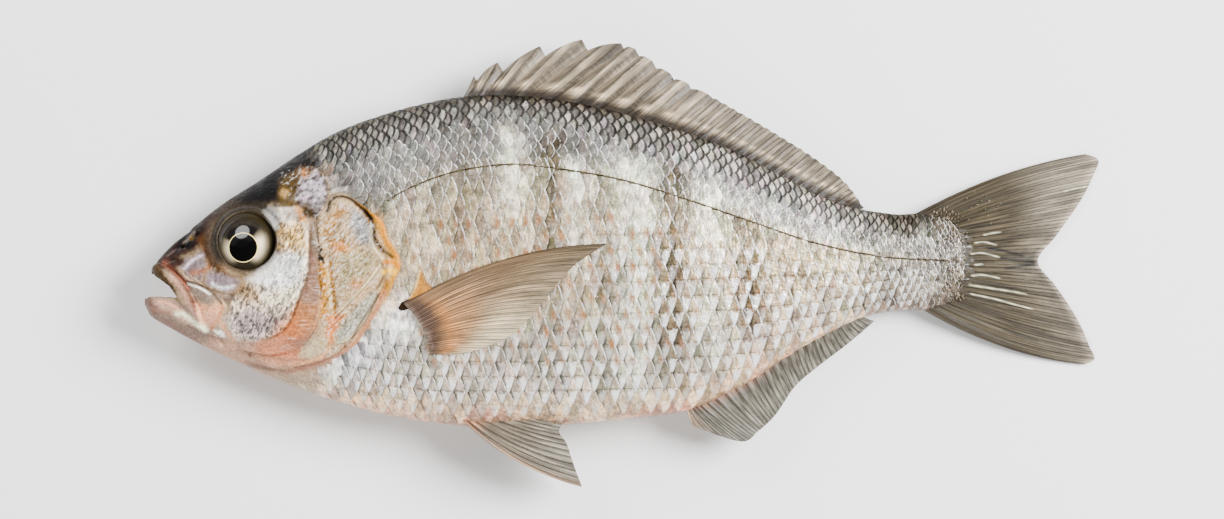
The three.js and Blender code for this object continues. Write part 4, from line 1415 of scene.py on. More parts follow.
# Row that the lower ones draw together towards
LEVEL = profile([[10, -3.2], [30, -2.6], [60, -1.8], [88, -0.3]])
SCALED_FROM = profile([
    [-17, 17.5], [-14, 16.5], [-12, 18.5], [-9, 22.5], [-5, 25.2], [-1, 26.5], [3, 25.8], [6, 24],
    [7.5, 21.5], [10, 18.8], [13, 16.8], [18, 18],
])
ACROSS_TURNS = np.linspace(-math.pi / 2, math.pi / 2, 161)
ARC_STEP = 0.25


def arc_table(zero_line):
    """Length round each section in millimetres from a drawn line, by place along and by turn."""
    stations = np.arange(8, 90, ARC_STEP)
    along, turn = np.meshgrid(stations, ACROSS_TURNS, indexing="ij")
    above, across = round_section(along, turn)
    steps = np.hypot(np.diff(above * UNIT, axis=1), np.diff(across, axis=1))
    arc = np.concatenate([np.zeros((len(stations), 1)), np.cumsum(steps, axis=1)], axis=1)
    zero = [np.interp(t, ACROSS_TURNS, a) for t, a in zip(turn_at(stations, zero_line(stations)), arc)]
    return stations, arc - np.array(zero)[:, None]


def turn_for(table, along, arc):
    """Turn of the places at that length from the drawn line."""
    stations, arcs = table
    at = np.clip((along - stations[0]) / ARC_STEP, 0, len(stations) - 1.001)
    i = at.astype(int)
    rows = mix(arcs[i], arcs[i + 1], (at - i)[:, None])
    arc = np.clip(arc, rows[:, 0] + 1e-4, rows[:, -1] - 1e-4)
    j = np.clip((rows < arc[:, None]).sum(1) - 1, 0, rows.shape[1] - 2)
    pick = np.arange(len(arc))
    share = (arc - rows[pick, j]) / (rows[pick, j + 1] - rows[pick, j])
    return mix(ACROSS_TURNS[j], ACROSS_TURNS[j + 1], share)


def scale_places(table, pitch, gap, upper):
    """Free tip of every scale, as place along, row number and height."""
    stations, arcs = table
    column = [16.5]
    while column[-1] < 87.5:
        column.append(column[-1] + float(pitch(column[-1])) / 2)
    places = []
    for i, along in enumerate(column):
        edges = arcs[int((along - stations[0]) / ARC_STEP)]
        for row in range(0 if upper else -30, 31):
            arc = row * float(gap(along))
            if (i + row) % 2 or not edges[0] + 0.2 < arc < edges[-1] - 0.4:
                continue
            turn = turn_for(table, np.array([along]), np.array([arc]))
            above = float(section(np.array([along]), turn, 1)[0, 1]) / UNIT + AXIS_DROP
            if along < SCALED_FROM(above) or along > 85.9 - 0.06 * above**2:
                continue
            if not upper and above > line(along) - 0.3 * float(gap(along)) / UNIT:
                continue
            places.append((along, row, above))
    return np.array(places)


def scale_shape():
    """One scale's grid: share from front to free edge, and place across from -1 to 1."""
    share = np.array([0, 0.45, 0.8, 1.0])
    across = np.sin(np.linspace(-math.pi / 2, math.pi / 2, 9))
    columns, rows = len(share), len(across)
    u, q = np.meshgrid(share, across, indexing="ij")
    edge = grid_rim(columns, rows)
    under = np.stack([np.roll(edge, -1), edge, np.full(len(edge), columns * rows)], -1)
    return u.ravel(), q.ravel(), grid_faces(columns, rows), under


def is_dark(places):
    """Whether scales lie on the dark back."""
    depth = depth_below(places[:, 0], places[:, 2])
    return depth < -0.52 + 0.25 * (1 - between(places[:, 0], 18, 26)) + 0.08 * np.sin(7 * places[:, 0])


def scale_field(name, side, sizes, material, upper, dark=False):
    """All scales of one flank below the lateral line, or above it: silver ones or those of the dark back."""
    pitch, gap = (UPPER_PITCH, UPPER_GAP) if upper else (LOWER_PITCH, LOWER_GAP)
    table = arc_table(line if upper else LEVEL)
    places = scale_places(table, pitch, gap, upper)
    if upper:
        places = places[is_dark(places) == dark]
    rng = np.random.default_rng(7 + 2 * upper + 4 * dark + (side < 0))
    count = len(places)
    u, q, quads, under = scale_shape()
    full = float(LOWER_PITCH(45))
    size = pitch(places[:, 0]) / full
    half = sizes.scale_half_height / MM * gap(places[:, 0]) / float(LOWER_GAP(45))
    fresh = between(places[:, 0] - SCALED_FROM(places[:, 2]), 0, np.where(places[:, 2] < -11, 4, 2.2))
    clear = fresh * (1 - 0.85 * between(depth_below(places[:, 0], places[:, 2]), 0.86, 0.96))
    half = half * mix(0.7, 1, fresh) * rng.uniform(0.93, 1.07, count)
    length = sizes.scale_length / MM * size * mix(0.75, 1, fresh)
    across = q[None] * half[:, None]
    curve = 0.2 * half[:, None] * q[None] ** 2
    curve = curve + (0.3 * q[None] ** 2 if upper else 0.14 * np.abs(q[None])) * half[:, None]
    ahead = mix(-length[:, None], -curve, u[None])
    along = places[:, :1] + rng.normal(0, 0.06, (count, 1)) + ahead / UNIT
    arc = places[:, 1:2] * gap(along) + rng.normal(0, 0.12, (count, 1)) + across
    turn = turn_for(table, along.ravel(), arc.ravel()).reshape(along.shape)
    chance = rng.random(count)
    lean = rng.normal(0, 0.06, count)
    tip = rng.normal(0, 0.05, count)
    lift = (0.02 + sizes.scale_rise / MM * u**1.2)[None] + 0.12 * (1 - q**2)[None] * u[None]
    lift = lift + 0.1 * hump(q, 0, 0.2)[None] * u[None]
    lift = lift * size[:, None] + (lean[:, None] * q[None] + tip[:, None]) * u[None]
    lift = lift * mix(0.25, 1, between(np.cos(turn), 0.0, 0.55))
    lift = lift * mix(0.15, 1, fresh)[:, None]
    top = skin(along, turn, side, lift)
    middle_along = places[:, 0] - 0.5 * length / UNIT
    middle_turn = turn_for(table, middle_along, places[:, 1] * gap(middle_along))
    low = skin(middle_along, middle_turn, side, np.full(count, -0.35))
    points = np.concatenate([top, low[:, None]], axis=1)
    shift = (np.arange(count) * (len(u) + 1))[:, None, None]
    faces = [*(quads[None] + shift).reshape(-1, 4), *(under[None] + shift).reshape(-1, 3)]
    tones = flank_colour(points[..., 0] / UNIT + 50, points[..., 1] / UNIT + AXIS_DROP)
    tone = 0.6 * tones[:, -1:] + 0.4 * tones
    bare = head_colour(places[:, 0] - 0.4, places[:, 2])[:, None]
    by_flap = between(places[:, 2], -13, -11) * (1 - between(places[:, 2], 3, 5))
    tone = mix(bare, tone, mix(mix(0.1, 0.9, by_flap), 1, fresh)[:, None, None])
    tone = tone * (1 + 0.8 * (chance - 0.5))[:, None, None] * (1 + rng.normal(0, 0.035, (count, 1, 3)))
    tone = np.concatenate([tone, np.broadcast_to(clear[:, None, None], tone.shape[:2] + (1,))], -1)
    net, tooth_highlight, rust = scale_marks(places, rng)
    marks = np.stack([net * mix(0.4, 1, fresh), tooth_highlight * clear, rust * fresh, chance], -1)
    marks = np.repeat(marks[:, None], points.shape[1], axis=1)
    uv = np.stack([np.append(u, 0.5), np.append((q + 1) / 2, 0.5)], -1)
    place_mesh(name, points, faces, material, tone, marks, np.tile(uv, (count, 1)), angle=math.radians(35))


def scale_marks(places, rng):
    """For each scale, how much dark net, painted white highlight (the tooth) and rust it shows."""
    along, depth = places[:, 0], depth_below(places[:, 0], places[:, 2])
    net = mix(between(-depth, 0.5, 0.7), between(-depth, 0.42, 0.62), between(along, 42, 52))
    thinned = 0.35 * hump(along, 38, 5) * (1 - between(-depth, 0.7, 0.9))
    net = net * (1 - thinned) * (1 - between(along, 80, 83.5))
    tooth_highlight = between(along, 38, 56) * between(depth, -0.02, 0.3)
    tooth_highlight = np.maximum(tooth_highlight, between(depth, 0.5, 0.75)) * (1 - 0.6 * between(along, 76, 84))
    rust = between(
        depth, 0.08, 0.2
    ) * (1 - between(depth, 0.72, 0.85)) * (1 - between(along, 50, 64)) * between(along, 27, 30)
    rust = np.maximum(
        rust, 0.6 * between(depth, 0.05, 0.2) * (1 - between(depth, 0.6, 0.8)) * (1 - between(along, 64, 72))
    )
    return net, tooth_highlight * (1 - between(along, 81, 84)), 0.85 * rust * rng.random(len(places)) ** 0.8


class FISH_OT_scales(bpy.types.Operator):
    """Covers both flanks with overlapping scales in rows along the lateral line"""

    bl_idname = "fish.scales"
    bl_label = "Scales"

    def execute(self, context):
        sizes, colours = context.scene.fish_sizes, context.scene.fish_colours
        bright, dull = scale_material(
            colours, "silver scale", 1.0
        ), scale_material(colours, "dark scale", 0.1)
        for side, word in SIDES:
            scale_field(f"back_scales_{word}", side, sizes, dull, True, dark=True)
            scale_field(f"upper_scales_{word}", side, sizes, bright, True)
            scale_field(f"lower_scales_{word}", side, sizes, bright, False)
        return {"FINISHED"}


# ---- Lateral line


def lateral_line(side, word, material):
    """Thin beaded ridge, one bead to each scale."""
    along = np.linspace(25.5, 84, 780)
    bead = np.abs(np.sin(np.pi * np.cumsum(np.gradient(along) / UPPER_PITCH(along))))
    across = np.linspace(-1, 1, 7)
    half = 0.05 + 0.045 * bead
    drawn = np.stack(
        [np.repeat(along[:, None], 7, 1), line(along)[:, None] + across[None] * half[:, None]], -1
    )
    lift = 0.66 + 0.16 * (bead[:, None] ** 0.7) * (1 - across[None] ** 2)
    points, faces = slab(on_skin(drawn, side, lift), on_skin(drawn, side, np.full(lift.shape, 0.1)))
    bright = np.tile((np.repeat(bead[:, None], 7, 1) ** 3).ravel(), 2)[:, None]
    tone = mix(np.array(linear(82, 66, 44)), np.array(linear(142, 124, 98)), bright)
    place_mesh(f"lateral_line_{word}", points, faces, material, tone=tone)


# Small pale scales strewn over the root of the tail fin: middle and reach on the finer sheet, and how many.
SPECKS = [
    ((950, 216), (12, 7), 60), ((956, 238), (10, 12), 90), ((957, 257), (8, 4), 26), ((958, 274), (8, 6), 30),
    ((955, 290), (10, 10), 90), ((986, 204), (17, 10), 14),
]
SPECKS_FROM = (925, 255)  # they point away from here


def tail_specks(side, word, material):
    """Small pale scales scattered where the flank ends on the tail fin."""
    rng = np.random.default_rng(31 + side)
    middle = np.vstack([place + rng.normal(0, 0.6, (count, 2)) * reach for place, reach, count in SPECKS])
    away = middle - SPECKS_FROM
    away /= np.linalg.norm(away, axis=1, keepdims=True)
    across = np.stack([-away[:, 1], away[:, 0]], -1)
    count = len(middle)
    long, wide = rng.uniform(0.35, 1.1, (2, count, 1)) * [[[1.5]], [[1.0]]]
    turn = np.arange(6) * math.pi / 3
    ring = middle[:, None] + (away * long)[:, None] * np.cos(turn)[:, None]
    ring = ring + (across * 0.6 * wide)[:, None] * np.sin(turn)[:, None]
    drawn = sheet(np.concatenate([ring, middle[:, None], middle[:, None]], 1))
    over_skin, over_fin = on_skin(drawn, side, 0.35), laid(drawn[..., 0], drawn[..., 1], side * 0.8)
    points = np.where(side * (over_skin[..., 2:] - over_fin[..., 2:]) > 0, over_skin, over_fin)
    points[:, 6, 2] += 0.3 * side
    points[:, 7, 2] -= 0.3 * side
    points[..., 2] = np.maximum(points[..., 2], 0.1)
    shift = 8 * np.arange(count)[:, None]
    sides = [face for k in range(6) for face in ([k, (k + 1) % 6, 6], [(k + 1) % 6, k, 7])]
    faces = np.vstack([shift + face for face in sides])
    tone = np.array(linear(206, 198, 187)) * rng.uniform(0.3, 1.15, (count, 1))
    place_mesh(
        f"tail_specks_{word}", points, faces, material, tone=np.repeat(tone, 8, 0), angle=math.radians(60)
    )


class FISH_OT_line(bpy.types.Operator):
    """Makes the beaded lateral line and the small scales on the root of the tail on both flanks"""

    bl_idname = "fish.line"
    bl_label = "Lateral line and tail specks"

    def execute(self, context):
        for side, word in SIDES:
            lateral_line(side, word, bpy.data.materials["wet skin"])
            tail_specks(side, word, bpy.data.materials["wet skin"])
        return {"FINISHED"}


# ---- Fins

DORSAL_SPINES = [
    [[32.9, 16.6], [34.4, 19.5]], [[34.4, 16.7], [36.9, 20.9]], [[36.2, 16.8], [41.3, 22.6]],
    [[38.4, 16.8], [45.7, 23.3]],
    [[41.4, 16.6], [49.8, 22.9]], [[44.2, 16.2], [51.3, 22.3]], [[46.6, 15.8], [53.1, 21.0]],
    [[49.2, 15.2], [55.0, 19.7]],
    [[51.7, 14.5], [56.9, 18.6]], [[54.1, 13.7], [59.0, 17.5]],
]
WEB_DIP = [0.55, 0.95, 1.05, 1.15, 0.55, 0.75, 0.75, 0.6, 0.5]  # how far the web drops behind a spine's tip
WEB_STEPS = [0, 0.045, 0.09, 0.2, 0.35, 0.5, 0.65, 0.8, 0.92]  # columns of the web from one spine to the next
BESIDE_SPINE = (0.045, 0.92)  # columns that a spine still thickens
DIP_AT = 0.09  # the web has dropped this far behind a spine
SOFT_ROOT = [[54.1, 13.7], [56.5, 12.8], [62, 10.6], [68, 7.6], [73.5, 5.2]]
SOFT_EDGE = [[59.0, 17.5], [61, 16.4], [66.5, 13.2], [70.7, 10.5], [73.4, 8.3], [75.3, 5.7]]
SOFT_RAYS = 20
TAIL_ROOT = [[79, 4.1], [82.5, 3.9], [84.5, 3], [85, 0.2], [84.5, -2.6], [83.2, -3.9], [80, -4.1]]
TAIL_EDGE = [
    [98.6, 11.35], [99.98, 10.7], [99.4, 9], [98.5, 7.1], [97.2, 5.1], [95.5, 2.7], [93.6, 0.1],
    [95.4, -2.4], [97.1, -4.9], [98.3, -7.1], [99, -8.8], [99.55, -10.2], [98.4, -10.75],
]
TAIL_RAYS = 18
TAIL_SLITS = [
    [(985, 235), (994, 233), (1002, 232)], [(976, 243), (986, 242), (998, 245)],
    [(972, 254), (984, 253), (1000, 257)],
    [(977, 265), (984, 264)], [(973, 276), (984, 275), (1000, 278)],
    [(970, 285), (990, 288), (1010, 291), (1027, 294)],
    [(972, 294), (996, 299), (1014, 304), (1033, 309)], [(1066, 191), (1078, 188), (1090, 186)],
]
TAIL_STREAKS = [
    [(1000, 258), (1018, 260), (1036, 262)], [(1008, 268), (1024, 266), (1037, 264)],
    [(990, 248), (1006, 251), (1024, 256)],
]
ANAL_ROOT = [[56.4, -14.6], [58, -14.3], [62.8, -11.9], [67, -9], [71, -6.4], [74.5, -5.2]]
ANAL_EDGE = [
    [57.4, -17.2], [62.3, -18.8], [64.2, -17.7], [66, -16], [68, -13.1], [70.4, -11], [73.7, -8.5],
    [76.4, -6.2],
]
ANAL_RAYS = 24
PELVIC_ROOT = [[32.6, -15.9], [34.4, -15.8], [37.6, -15.9]]
PELVIC_EDGE = [[45.7, -23.5], [45.2, -22.2], [44.6, -20.5], [44.1, -19], [43.3, -17.8], [43.6, -17]]
PELVIC_RAYS = 7
PELVIC_APART = 3
PECTORAL_ROOT = [[27.2, -4.2], [28.6, -5.8], [29.6, -7.7], [29.9, -9.5]]
PECTORAL_EDGE = [
    [48.4, 1.9], [47, 1.1], [45.1, -0.2], [43.4, -1.9], [41.9, -3.8], [40.3, -5.7], [38.3, -7.6],
    [35.4, -8.9], [32.4, -9.6],
]
PECTORAL_RAYS = 19
# How dark the rays show
RAY_LINES = {"dorsal": 0.15, "tail": 0.15, "anal": 0.45, "pelvic": 0.55, "pectoral": 0.15}
FIN_TONES = {  # colours of the root and of the edge
    "dorsal": ((166, 154, 136), (178, 169, 155)),
    "tail": ((113, 100, 80), (141, 130, 115)),
    "anal": ((143, 137, 124), (166, 162, 154)),
    "pelvic": ((167, 157, 143), (179, 174, 166)),
    "pectoral": ((190, 168, 142), (188, 175, 156)),
}


def ridge_of(ray, share):
    """How much of a ray's thickness there is at a place: rays split in two towards the edge."""
    single = np.abs(np.cos(np.pi * ray)) ** 3
    double = np.abs(np.cos(2 * np.pi * ray)) ** 2
    return mix(single, double, between(share, 0.35, 0.6)) * mix(1, 0.6, share)


def fin_paint(kind, drawn, ray, share):
    """Paint of a fin by ray number and share from root to edge, and its marks: dark lines and pale slits."""
    tan, edge = FIN_TONES[kind]
    paint = Paint(drawn[..., 0], drawn[..., 1])
    paint.over(1, tan)
    paint.over(between(share, 0.35, 1), edge)
    single = np.abs(np.cos(np.pi * ray)) ** 8
    double = np.abs(np.cos(2 * np.pi * ray)) ** 8
    lines = mix(single, double, between(share, 0.35, 0.6))
    marks = np.zeros(share.shape + (4,))
    marks[..., 0] = RAY_LINES[kind] * lines * between(share, 0.02, 0.12)
    return paint, marks, lines


def fin_mesh(name, top, bottom, rays, shares, paint, marks, material):
    """Closed fin between two grids of points, with its colours, its marks and its ray numbers."""
    points, faces = slab(top, bottom)
    layers = (paint.colour, marks, np.stack([rays, shares], -1))
    tone, marks, uv = [np.tile(layer.reshape(-1, layer.shape[-1]), (2, 1)) for layer in layers]
    place_mesh(name, points, faces, material, tone, marks, uv, angle=math.radians(60))


def fin_grid(root, edge, bow, ray, rows):
    """Drawn places from root to edge, bowed between them, with their ray numbers and shares."""
    share = np.linspace(0, 1, rows)
    arch = 4 * share * (1 - share)
    drawn = mix(root[:, None], edge[:, None], share[None, :, None]) + bow[:, None] * arch[None, :, None]
    return drawn, np.repeat(ray[:, None], rows, 1), np.repeat(share[None], len(ray), 0)


def fin_sheet(
    name, kind, root, edge, ray, material, sizes, adorn, bow, start=0, droop=0, rows=22, spines=None, phase=0
):
    """Thin closed fin from columns of root and edge points; ray holds each column's ray number."""
    drawn, rays, shares = fin_grid(root, edge, bow, ray, rows)
    ridge = ridge_of(
        rays, shares
    ) if spines is None else np.maximum(spines[:, None] * mix(1, 0.55, shares), 0)
    half = mix(sizes.web_half, sizes.ray_half, ridge) / MM * mix(1, 0.35, shares)
    half = np.maximum(half, sizes.edge_half / MM)
    wave = sizes.wave / MM * np.sin(rays * 0.9 + 2.2 * shares + phase) * shares
    across = start - droop * shares**2 + wave
    top, bottom = [laid(drawn[..., 0], drawn[..., 1], across + k * half) for k in (1, -1)]
    paint, marks, _ = fin_paint(kind, drawn, rays, shares)
    adorn(paint, marks, rays, shares)
    fin_mesh(name, top, bottom, rays, shares, paint, marks, material)


def dorsal_fin(material, sizes):
    root, edge, ray, spines = [], [], [], []
    for i in range(len(DORSAL_SPINES) - 1):
        (r0, t0), (r1, t1) = [np.array(s, float) for s in DORSAL_SPINES[i : i + 2]]
        dip = t0 + np.array([0.55, -1.0]) * WEB_DIP[i]
        for f in WEB_STEPS:
            rise = max(f - DIP_AT, 0) / (1 - DIP_AT)
            sag = np.array([-0.1, 0.22]) * 4 * rise * (1 - rise)
            root.append(mix(r0, r1, f))
            edge.append(mix(t0, dip, min(f / DIP_AT, 1)) if rise == 0 else mix(dip, t1, rise) + sag)
            ray.append(i + f)
            spines.append(1.15 if f == 0 else (0.55 if f in BESIDE_SPINE else 0))
    u = np.linspace(0, 1, 6 * SOFT_RAYS + 1)
    soft_root, soft_edge = route(SOFT_ROOT, even=True)(u), route(SOFT_EDGE, even=True)(u)
    soft_ray = len(DORSAL_SPINES) - 1 + u * SOFT_RAYS
    soft_edge = soft_edge - np.array([0.05, 0.12]) * (1 - np.abs(np.cos(np.pi * soft_ray)))[:, None]
    root, edge = np.vstack([root, soft_root]), np.vstack([edge, soft_edge])
    ray = np.concatenate([ray, soft_ray])
    spines = np.concatenate([spines, np.abs(np.cos(np.pi * soft_ray)) ** 3 * 0.9])
    root = root - np.array([0.15, 0.6])

    def adorn(paint, marks, rays, shares):
        along, above = paint.place
        over_back = above - back(along)
        web = rays - np.floor(rays)
        spiny = 1 - between(rays, 8, 10)
        paint.over(0.55 * (between(web, 0.02, 0.12) * (1 - between(web, 0.35, 0.6)) * spiny), (132, 116, 96))
        paint.over(0.5 * between(web, 0.5, 0.7) * (1 - between(web, 0.85, 1)) * spiny, (200, 192, 180))
        smoke = between(shares, 0.55, 0.95) * (0.5 + 0.5 * np.sin(rays * 2.1))
        paint.over(0.4 * smoke, (120, 108, 94))
        paint.over(0.6 * between(rays, 9, 15) * (1 - 0.5 * shares), (128, 116, 98))
        dash = hump(over_back, 1.35, 0.22) * np.abs(np.sin(np.pi * rays)) ** 3
        paint.over(0.7 * dash, (222, 214, 202))
        paint.over(0.95 * (1 - between(over_back, 0.45, 1.05)), (66, 54, 38))

    bow = np.zeros((len(ray), 2))
    fin_sheet("dorsal_fin", "dorsal", root, edge, ray, material, sizes, adorn, bow, droop=3, spines=spines)


def tail_fin(material, sizes):
    u = np.linspace(0, 1, 16 * (TAIL_RAYS - 1) + 1)
    root, edge = route(TAIL_ROOT)(u), route(TAIL_EDGE)(u)
    bow = np.stack([0 * u, np.where(u < 0.5, mix(1.05, 0, ease(3 * u)), mix(0, -1.25, ease(3 * u - 2)))], -1)
    ray = u * (TAIL_RAYS - 1)

    def adorn(paint, marks, rays, shares):
        along, above = paint.place
        patchy = 0.75 + 0.25 * np.sin(5 * along + 3 * above)
        for slit in TAIL_SLITS:
            paint.over(0.8 * stroke_mask(sheet(slit), 0.2, along, above), (78, 66, 50))
            mask = stroke_mask(sheet(slit), 0.075, along, above)
            marks[..., 1] = np.maximum(marks[..., 1], 0.85 * mask**1.5 * patchy)
        paint.over(0.6 * (1 - between(shares, 0, 0.3)), (96, 84, 66))
        lobe = between(shares, 0.45, 0.8) * (1 - between(rays, 4, 8)) + 0.25 * between(shares, 0.7, 0.95)
        paint.over(0.75 * np.minimum(lobe, 1), (184, 177, 168))
        paint.over(0.7 * between(shares, 0.93, 1), (204, 198, 190))
        outer = np.minimum(rays, TAIL_RAYS - 1 - rays)
        paint.over(0.5 * np.exp(-outer * 1.6), (96, 82, 66))
        for streak in TAIL_STREAKS:
            paint.over(0.95 * stroke_mask(sheet(streak), 0.17, along, above), (48, 38, 26))

    fin_sheet("tail_fin", "tail", root, edge, ray, material, sizes, adorn, bow, rows=40)


def anal_fin(material, sizes):
    u = np.linspace(0, 1, 6 * (ANAL_RAYS - 1) + 1)
    root, edge = route(ANAL_ROOT)(u), route(ANAL_EDGE)(u)
    bow = np.full((len(u), 2), -0.1)

    def adorn(paint, marks, rays, shares):
        paint.over(0.8 * (1 - between(shares, 0.05, 0.3)), (188, 152, 130))
        paint.over(0.6 * hump(rays, 0, 1.2), (214, 200, 186))

    fin_sheet(
        "anal_fin", "anal", root, edge, u * (ANAL_RAYS - 1), material, sizes, adorn, bow, droop=2, phase=1
    )


def pelvic_fin(side, word, material, sizes):
    u = np.linspace(0, 1, 14 * (PELVIC_RAYS - 1) + 1)
    root, edge = route(PELVIC_ROOT)(u), route(PELVIC_EDGE)(u)
    bow = np.stack([mix(-0.6, 0, u), mix(-0.9, 0.1, u)], -1)

    def adorn(paint, marks, rays, shares):
        paint.over(0.8 * (1 - between(shares, 0.02, 0.25)), (216, 186, 164))
        paint.over(0.7 * hump(rays, 0, 0.5), (206, 188, 170))

    fin_sheet(
        f"pelvic_fin_{word}", "pelvic", root, edge, u * (PELVIC_RAYS - 1), material, sizes, adorn, bow,
        start=side * PELVIC_APART, droop=-side * 1.5, phase=2,
    )


def pectoral_fin(side, word, material, sizes):
    """Lies along the flank, a little off the scales, thick and fleshy at its root."""
    u = np.linspace(0, 1, 10 * (PECTORAL_RAYS - 1) + 1)
    root, edge = route(PECTORAL_ROOT)(u), route(PECTORAL_EDGE)(u)
    bow = np.stack([0 * u, mix(1.5, 0, ease(u))], -1)
    drawn, rays, shares = fin_grid(root, edge, bow, u * (PECTORAL_RAYS - 1), 34)
    edges = np.minimum(1, np.minimum(u, 1 - u) / 0.03)[:, None]
    body = 0.95 + 0.7 * hump(shares, 0, 0.16) + 0.25 * shares
    top_lift = mix(0.6, body, np.sqrt(edges)) + 0.26 * ridge_of(rays, shares) * edges
    top_lift = mix(top_lift, 0.75, between(shares, 0.96, 1))
    top = on_skin(drawn, side, top_lift)
    bottom = on_skin(drawn, side, mix(0.1, 0.6, between(shares, 0.1, 0.4)))
    paint, marks, lines = fin_paint("pectoral", drawn, rays, shares)
    low = between(rays, 6, 14)
    paint.over(0.4 * (1 - between(rays, 2, 10)), (172, 148, 120))
    paint.over(0.8 * low * between(shares, 0.3, 0.7), (211, 201, 186))
    paint.patch([(436, 296), (470, 290), (480, 320), (470, 350), (444, 353)], 9, (208, 182, 152), 0.8)
    paint.patch([
        (424, 298), (446, 302), (458, 324), (458, 352), (442, 356), (446, 335), (438, 316),
    ], 5, (212, 178, 136), 0.8)
    paint.patch([
        (400, 302), (416, 296), (434, 304), (444, 320), (444, 340), (440, 358), (426, 352), (424, 338),
        (412, 316),
    ], 5, (130, 102, 88), 0.9)
    paint.patch([
        (396, 306), (404, 302), (416, 318), (424, 334), (428, 350), (434, 358), (420, 360), (404, 330),
    ], 4, (190, 183, 174), 0.9)
    # painted highlights: three light streaks on the fleshy root
    for x in (410, 416, 422):
        paint.stroke([(x, x - 102), (x + 8, x - 90), (x + 12, x - 76)], 1.0, (182, 166, 156), 0.7)
    paint.over(0.6 * (1 - between(rays, 0.3, 1.2)), (104, 84, 62))
    paint.over(0.5 * between(shares, 0.7, 0.95) * (1 - between(rays, 2, 7)), (112, 96, 78))
    marks[..., 0] = mix(0.25, 0.85, 1 - between(rays, 5, 14)) * lines * between(shares, 0.12, 0.22)
    marks[..., 1] = 0.3 * between(rays, 8, 15) * (1 - lines) * between(shares, 0.4, 0.8)
    fin_mesh(f"pectoral_fin_{word}", top, bottom, rays, shares, paint, marks, material)


class FISH_OT_fins(bpy.types.Operator):
    """Makes the dorsal, tail, anal, pelvic and pectoral fins with their rays"""

    bl_idname = "fish.fins"
    bl_label = "Fins"

    def execute(self, context):
        sizes = context.scene.fish_sizes
        material = fin_material("thin fin", context.scene.fish_colours, 1)
        close_rayed = fin_material("close-rayed fin", context.scene.fish_colours, 2)
        dorsal_fin(material, sizes)
        tail_fin(close_rayed, sizes)
        anal_fin(material, sizes)
        for side, word in SIDES:
            pelvic_fin(side, word, material, sizes)
            pectoral_fin(side, word, close_rayed, sizes)
        return {"FINISHED"}


# ---- Eyes

EYE = (10.72, 2.06)
EYE_RADII = (8.1, 8.1, 4.3)
EYE_CENTRE = 7.5
EYE_TURNS = (-0.22, -0.25, 0)
PUPIL = (244.8, 247.6)
IRIS_MIDDLE = (246, 243.6)
IRIS_RADIUS = 7.15


def eyeball(side, word, material):
    piece = egg(f"eyeball_{word}", (*EYE, side * EYE_CENTRE), EYE_RADII, EYE_TURNS, 96, 64)
    along, above = drawn_of(points_of(piece.data))
    x, y = sheet(PUPIL)
    far = np.hypot(along - x, above - y) * UNIT / IRIS_RADIUS
    turn = np.arctan2(above - y, along - x)
    dark = between(np.cos(turn - 1.6), 0.3, 0.8) + between(np.cos(turn + 1.5), 0.6, 0.96)
    dark = dark + 0.6 * between(np.cos(turn - 2.4), 0.6, 0.95)
    x, y = sheet(IRIS_MIDDLE)
    out = np.hypot(along - x, above - y) * UNIT / IRIS_RADIUS
    shine = between(np.cos(turn - 1.8), 0.25, 0.6) * (1 - 0.8 * between(out, 0.8, 1))
    dress(piece.data, "tone", np.stack([far, np.clip(dark, 0, 1), out, shine], -1))
    finish_piece(piece, material, f"eye_{word}", math.radians(60))


class FISH_OT_eyes(bpy.types.Operator):
    """Makes the wet eyeballs in their sockets"""

    bl_idname = "fish.eyes"
    bl_label = "Eyes"

    def execute(self, context):
        material = eye_material(context.scene.fish_colours)
        for side, word in SIDES:
            eyeball(side, word, material)
        return {"FINISHED"}


# ---- Board, light and camera

FRAME_MIDDLE = (-2.87, 0.9)  # middle of the view, from the middle of the fish, in millimetres
FRAME_WIDTH = 320  # millimetres seen across the view
LENS, SENSOR = 300, 36
LAMPS = [  # name, place in metres, watts and width in metres
    ("key", (0.98, 0.36, 1.02), 75, 0.9), ("fill", (-0.5, -1.2, 0.6), 25, 2.3),
    ("glint", (-0.66, 0.77, 0.81), 12, 0.62),
]
SKY, SKY_STRENGTH = (0.99, 0.985, 0.975, 1.0), 0.42


def soft_light(name, place, power, size):
    """Round lamp that looks at the middle of the fish."""
    lamp = bpy.data.lights.new(name, "AREA")
    lamp.energy = power
    lamp.shape = "DISK"
    lamp.size = size
    lamp_object = bpy.data.objects.new(name, lamp)
    bpy.context.scene.collection.objects.link(lamp_object)
    lamp_object.location = place
    lamp_object.rotation_euler = (-Vector(place)).to_track_quat("-Z", "Y").to_euler()


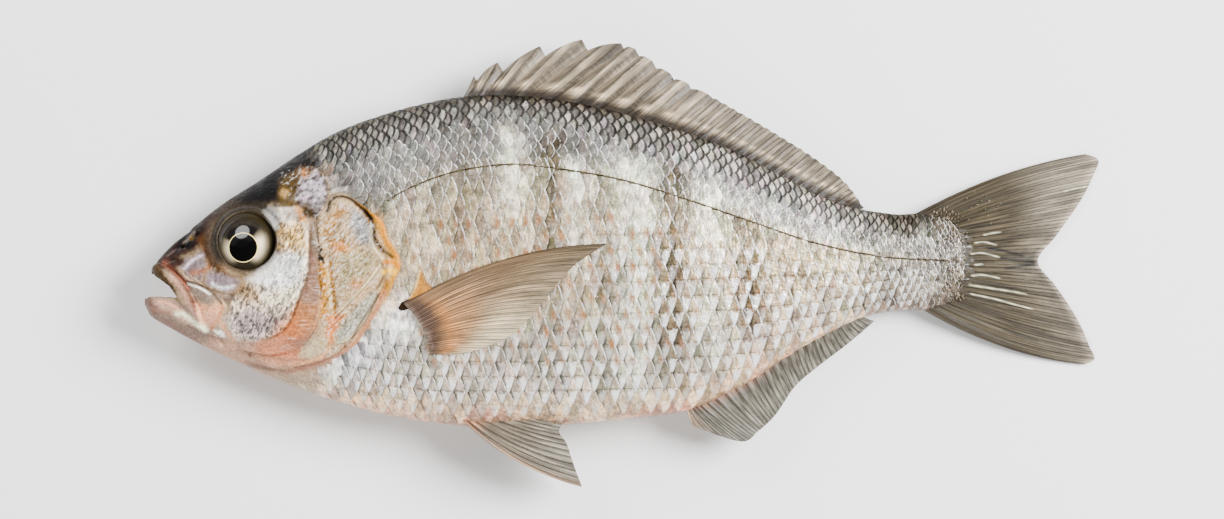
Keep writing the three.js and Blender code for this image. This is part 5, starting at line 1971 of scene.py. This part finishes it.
class FISH_OT_stage(bpy.types.Operator):
    """Lays a pale board, hangs soft lights and sets the camera straight above"""

    bl_idname = "fish.stage"
    bl_label = "Board, light and camera"

    def execute(self, context):
        bpy.ops.object.select_all(action="DESELECT")
        bpy.ops.mesh.primitive_plane_add(size=6)
        board = context.active_object
        board.name = "board"
        board.data.materials.append(board_material(context.scene.fish_colours))
        for lamp in LAMPS:
            soft_light(*lamp)
        world = bpy.data.worlds.new("studio")
        world.use_nodes = True
        background = world.node_tree.nodes["Background"].inputs
        background["Color"].default_value = SKY
        background["Strength"].default_value = SKY_STRENGTH
        context.scene.world = world
        camera = bpy.data.cameras.new("camera")
        camera.lens = LENS
        camera.sensor_width = SENSOR
        camera_object = bpy.data.objects.new("camera", camera)
        context.scene.collection.objects.link(camera_object)
        distance = FRAME_WIDTH * LENS / SENSOR
        camera_object.location = (FRAME_MIDDLE[0] * MM, FRAME_MIDDLE[1] * MM, (REST_HEIGHT + distance) * MM)
        camera_object.rotation_euler = (0, 0, 0)
        context.scene.camera = camera_object
        return {"FINISHED"}


# ---- Add-on


class FISH_PT_sidebar(bpy.types.Panel):
    """Sizes, colours and pieces of the fish"""

    bl_idname = "FISH_PT_sidebar"
    bl_label = "Whole raw fish"
    bl_space_type = "VIEW_3D"
    bl_region_type = "UI"
    bl_category = "Fish"

    def draw(self, context):
        layout = self.layout
        for step in STEPS:
            layout.operator(step.bl_idname)
        for group in (context.scene.fish_sizes, context.scene.fish_colours):
            for name in group.bl_rna.properties.keys():
                if name not in ("rna_type", "name"):
                    layout.prop(group, name)


STEPS = (
    FISH_OT_skin, FISH_OT_plates, FISH_OT_jaws, FISH_OT_scales, FISH_OT_line, FISH_OT_fins, FISH_OT_eyes,
    FISH_OT_stage
)
CLASSES = (FishSizes, FishColours, *STEPS, FISH_PT_sidebar)


def register():
    for made in CLASSES:
        bpy.utils.register_class(made)
    bpy.types.Scene.fish_sizes = PointerProperty(type=FishSizes)
    bpy.types.Scene.fish_colours = PointerProperty(type=FishColours)


def unregister():
    del bpy.types.Scene.fish_sizes
    del bpy.types.Scene.fish_colours
    for made in reversed(CLASSES):
        bpy.utils.unregister_class(made)


def main():
    register()
    for step in STEPS:
        group, name = step.bl_idname.split(".")
        getattr(getattr(bpy.ops, group), name)()


if __name__ == "__main__":
    main()
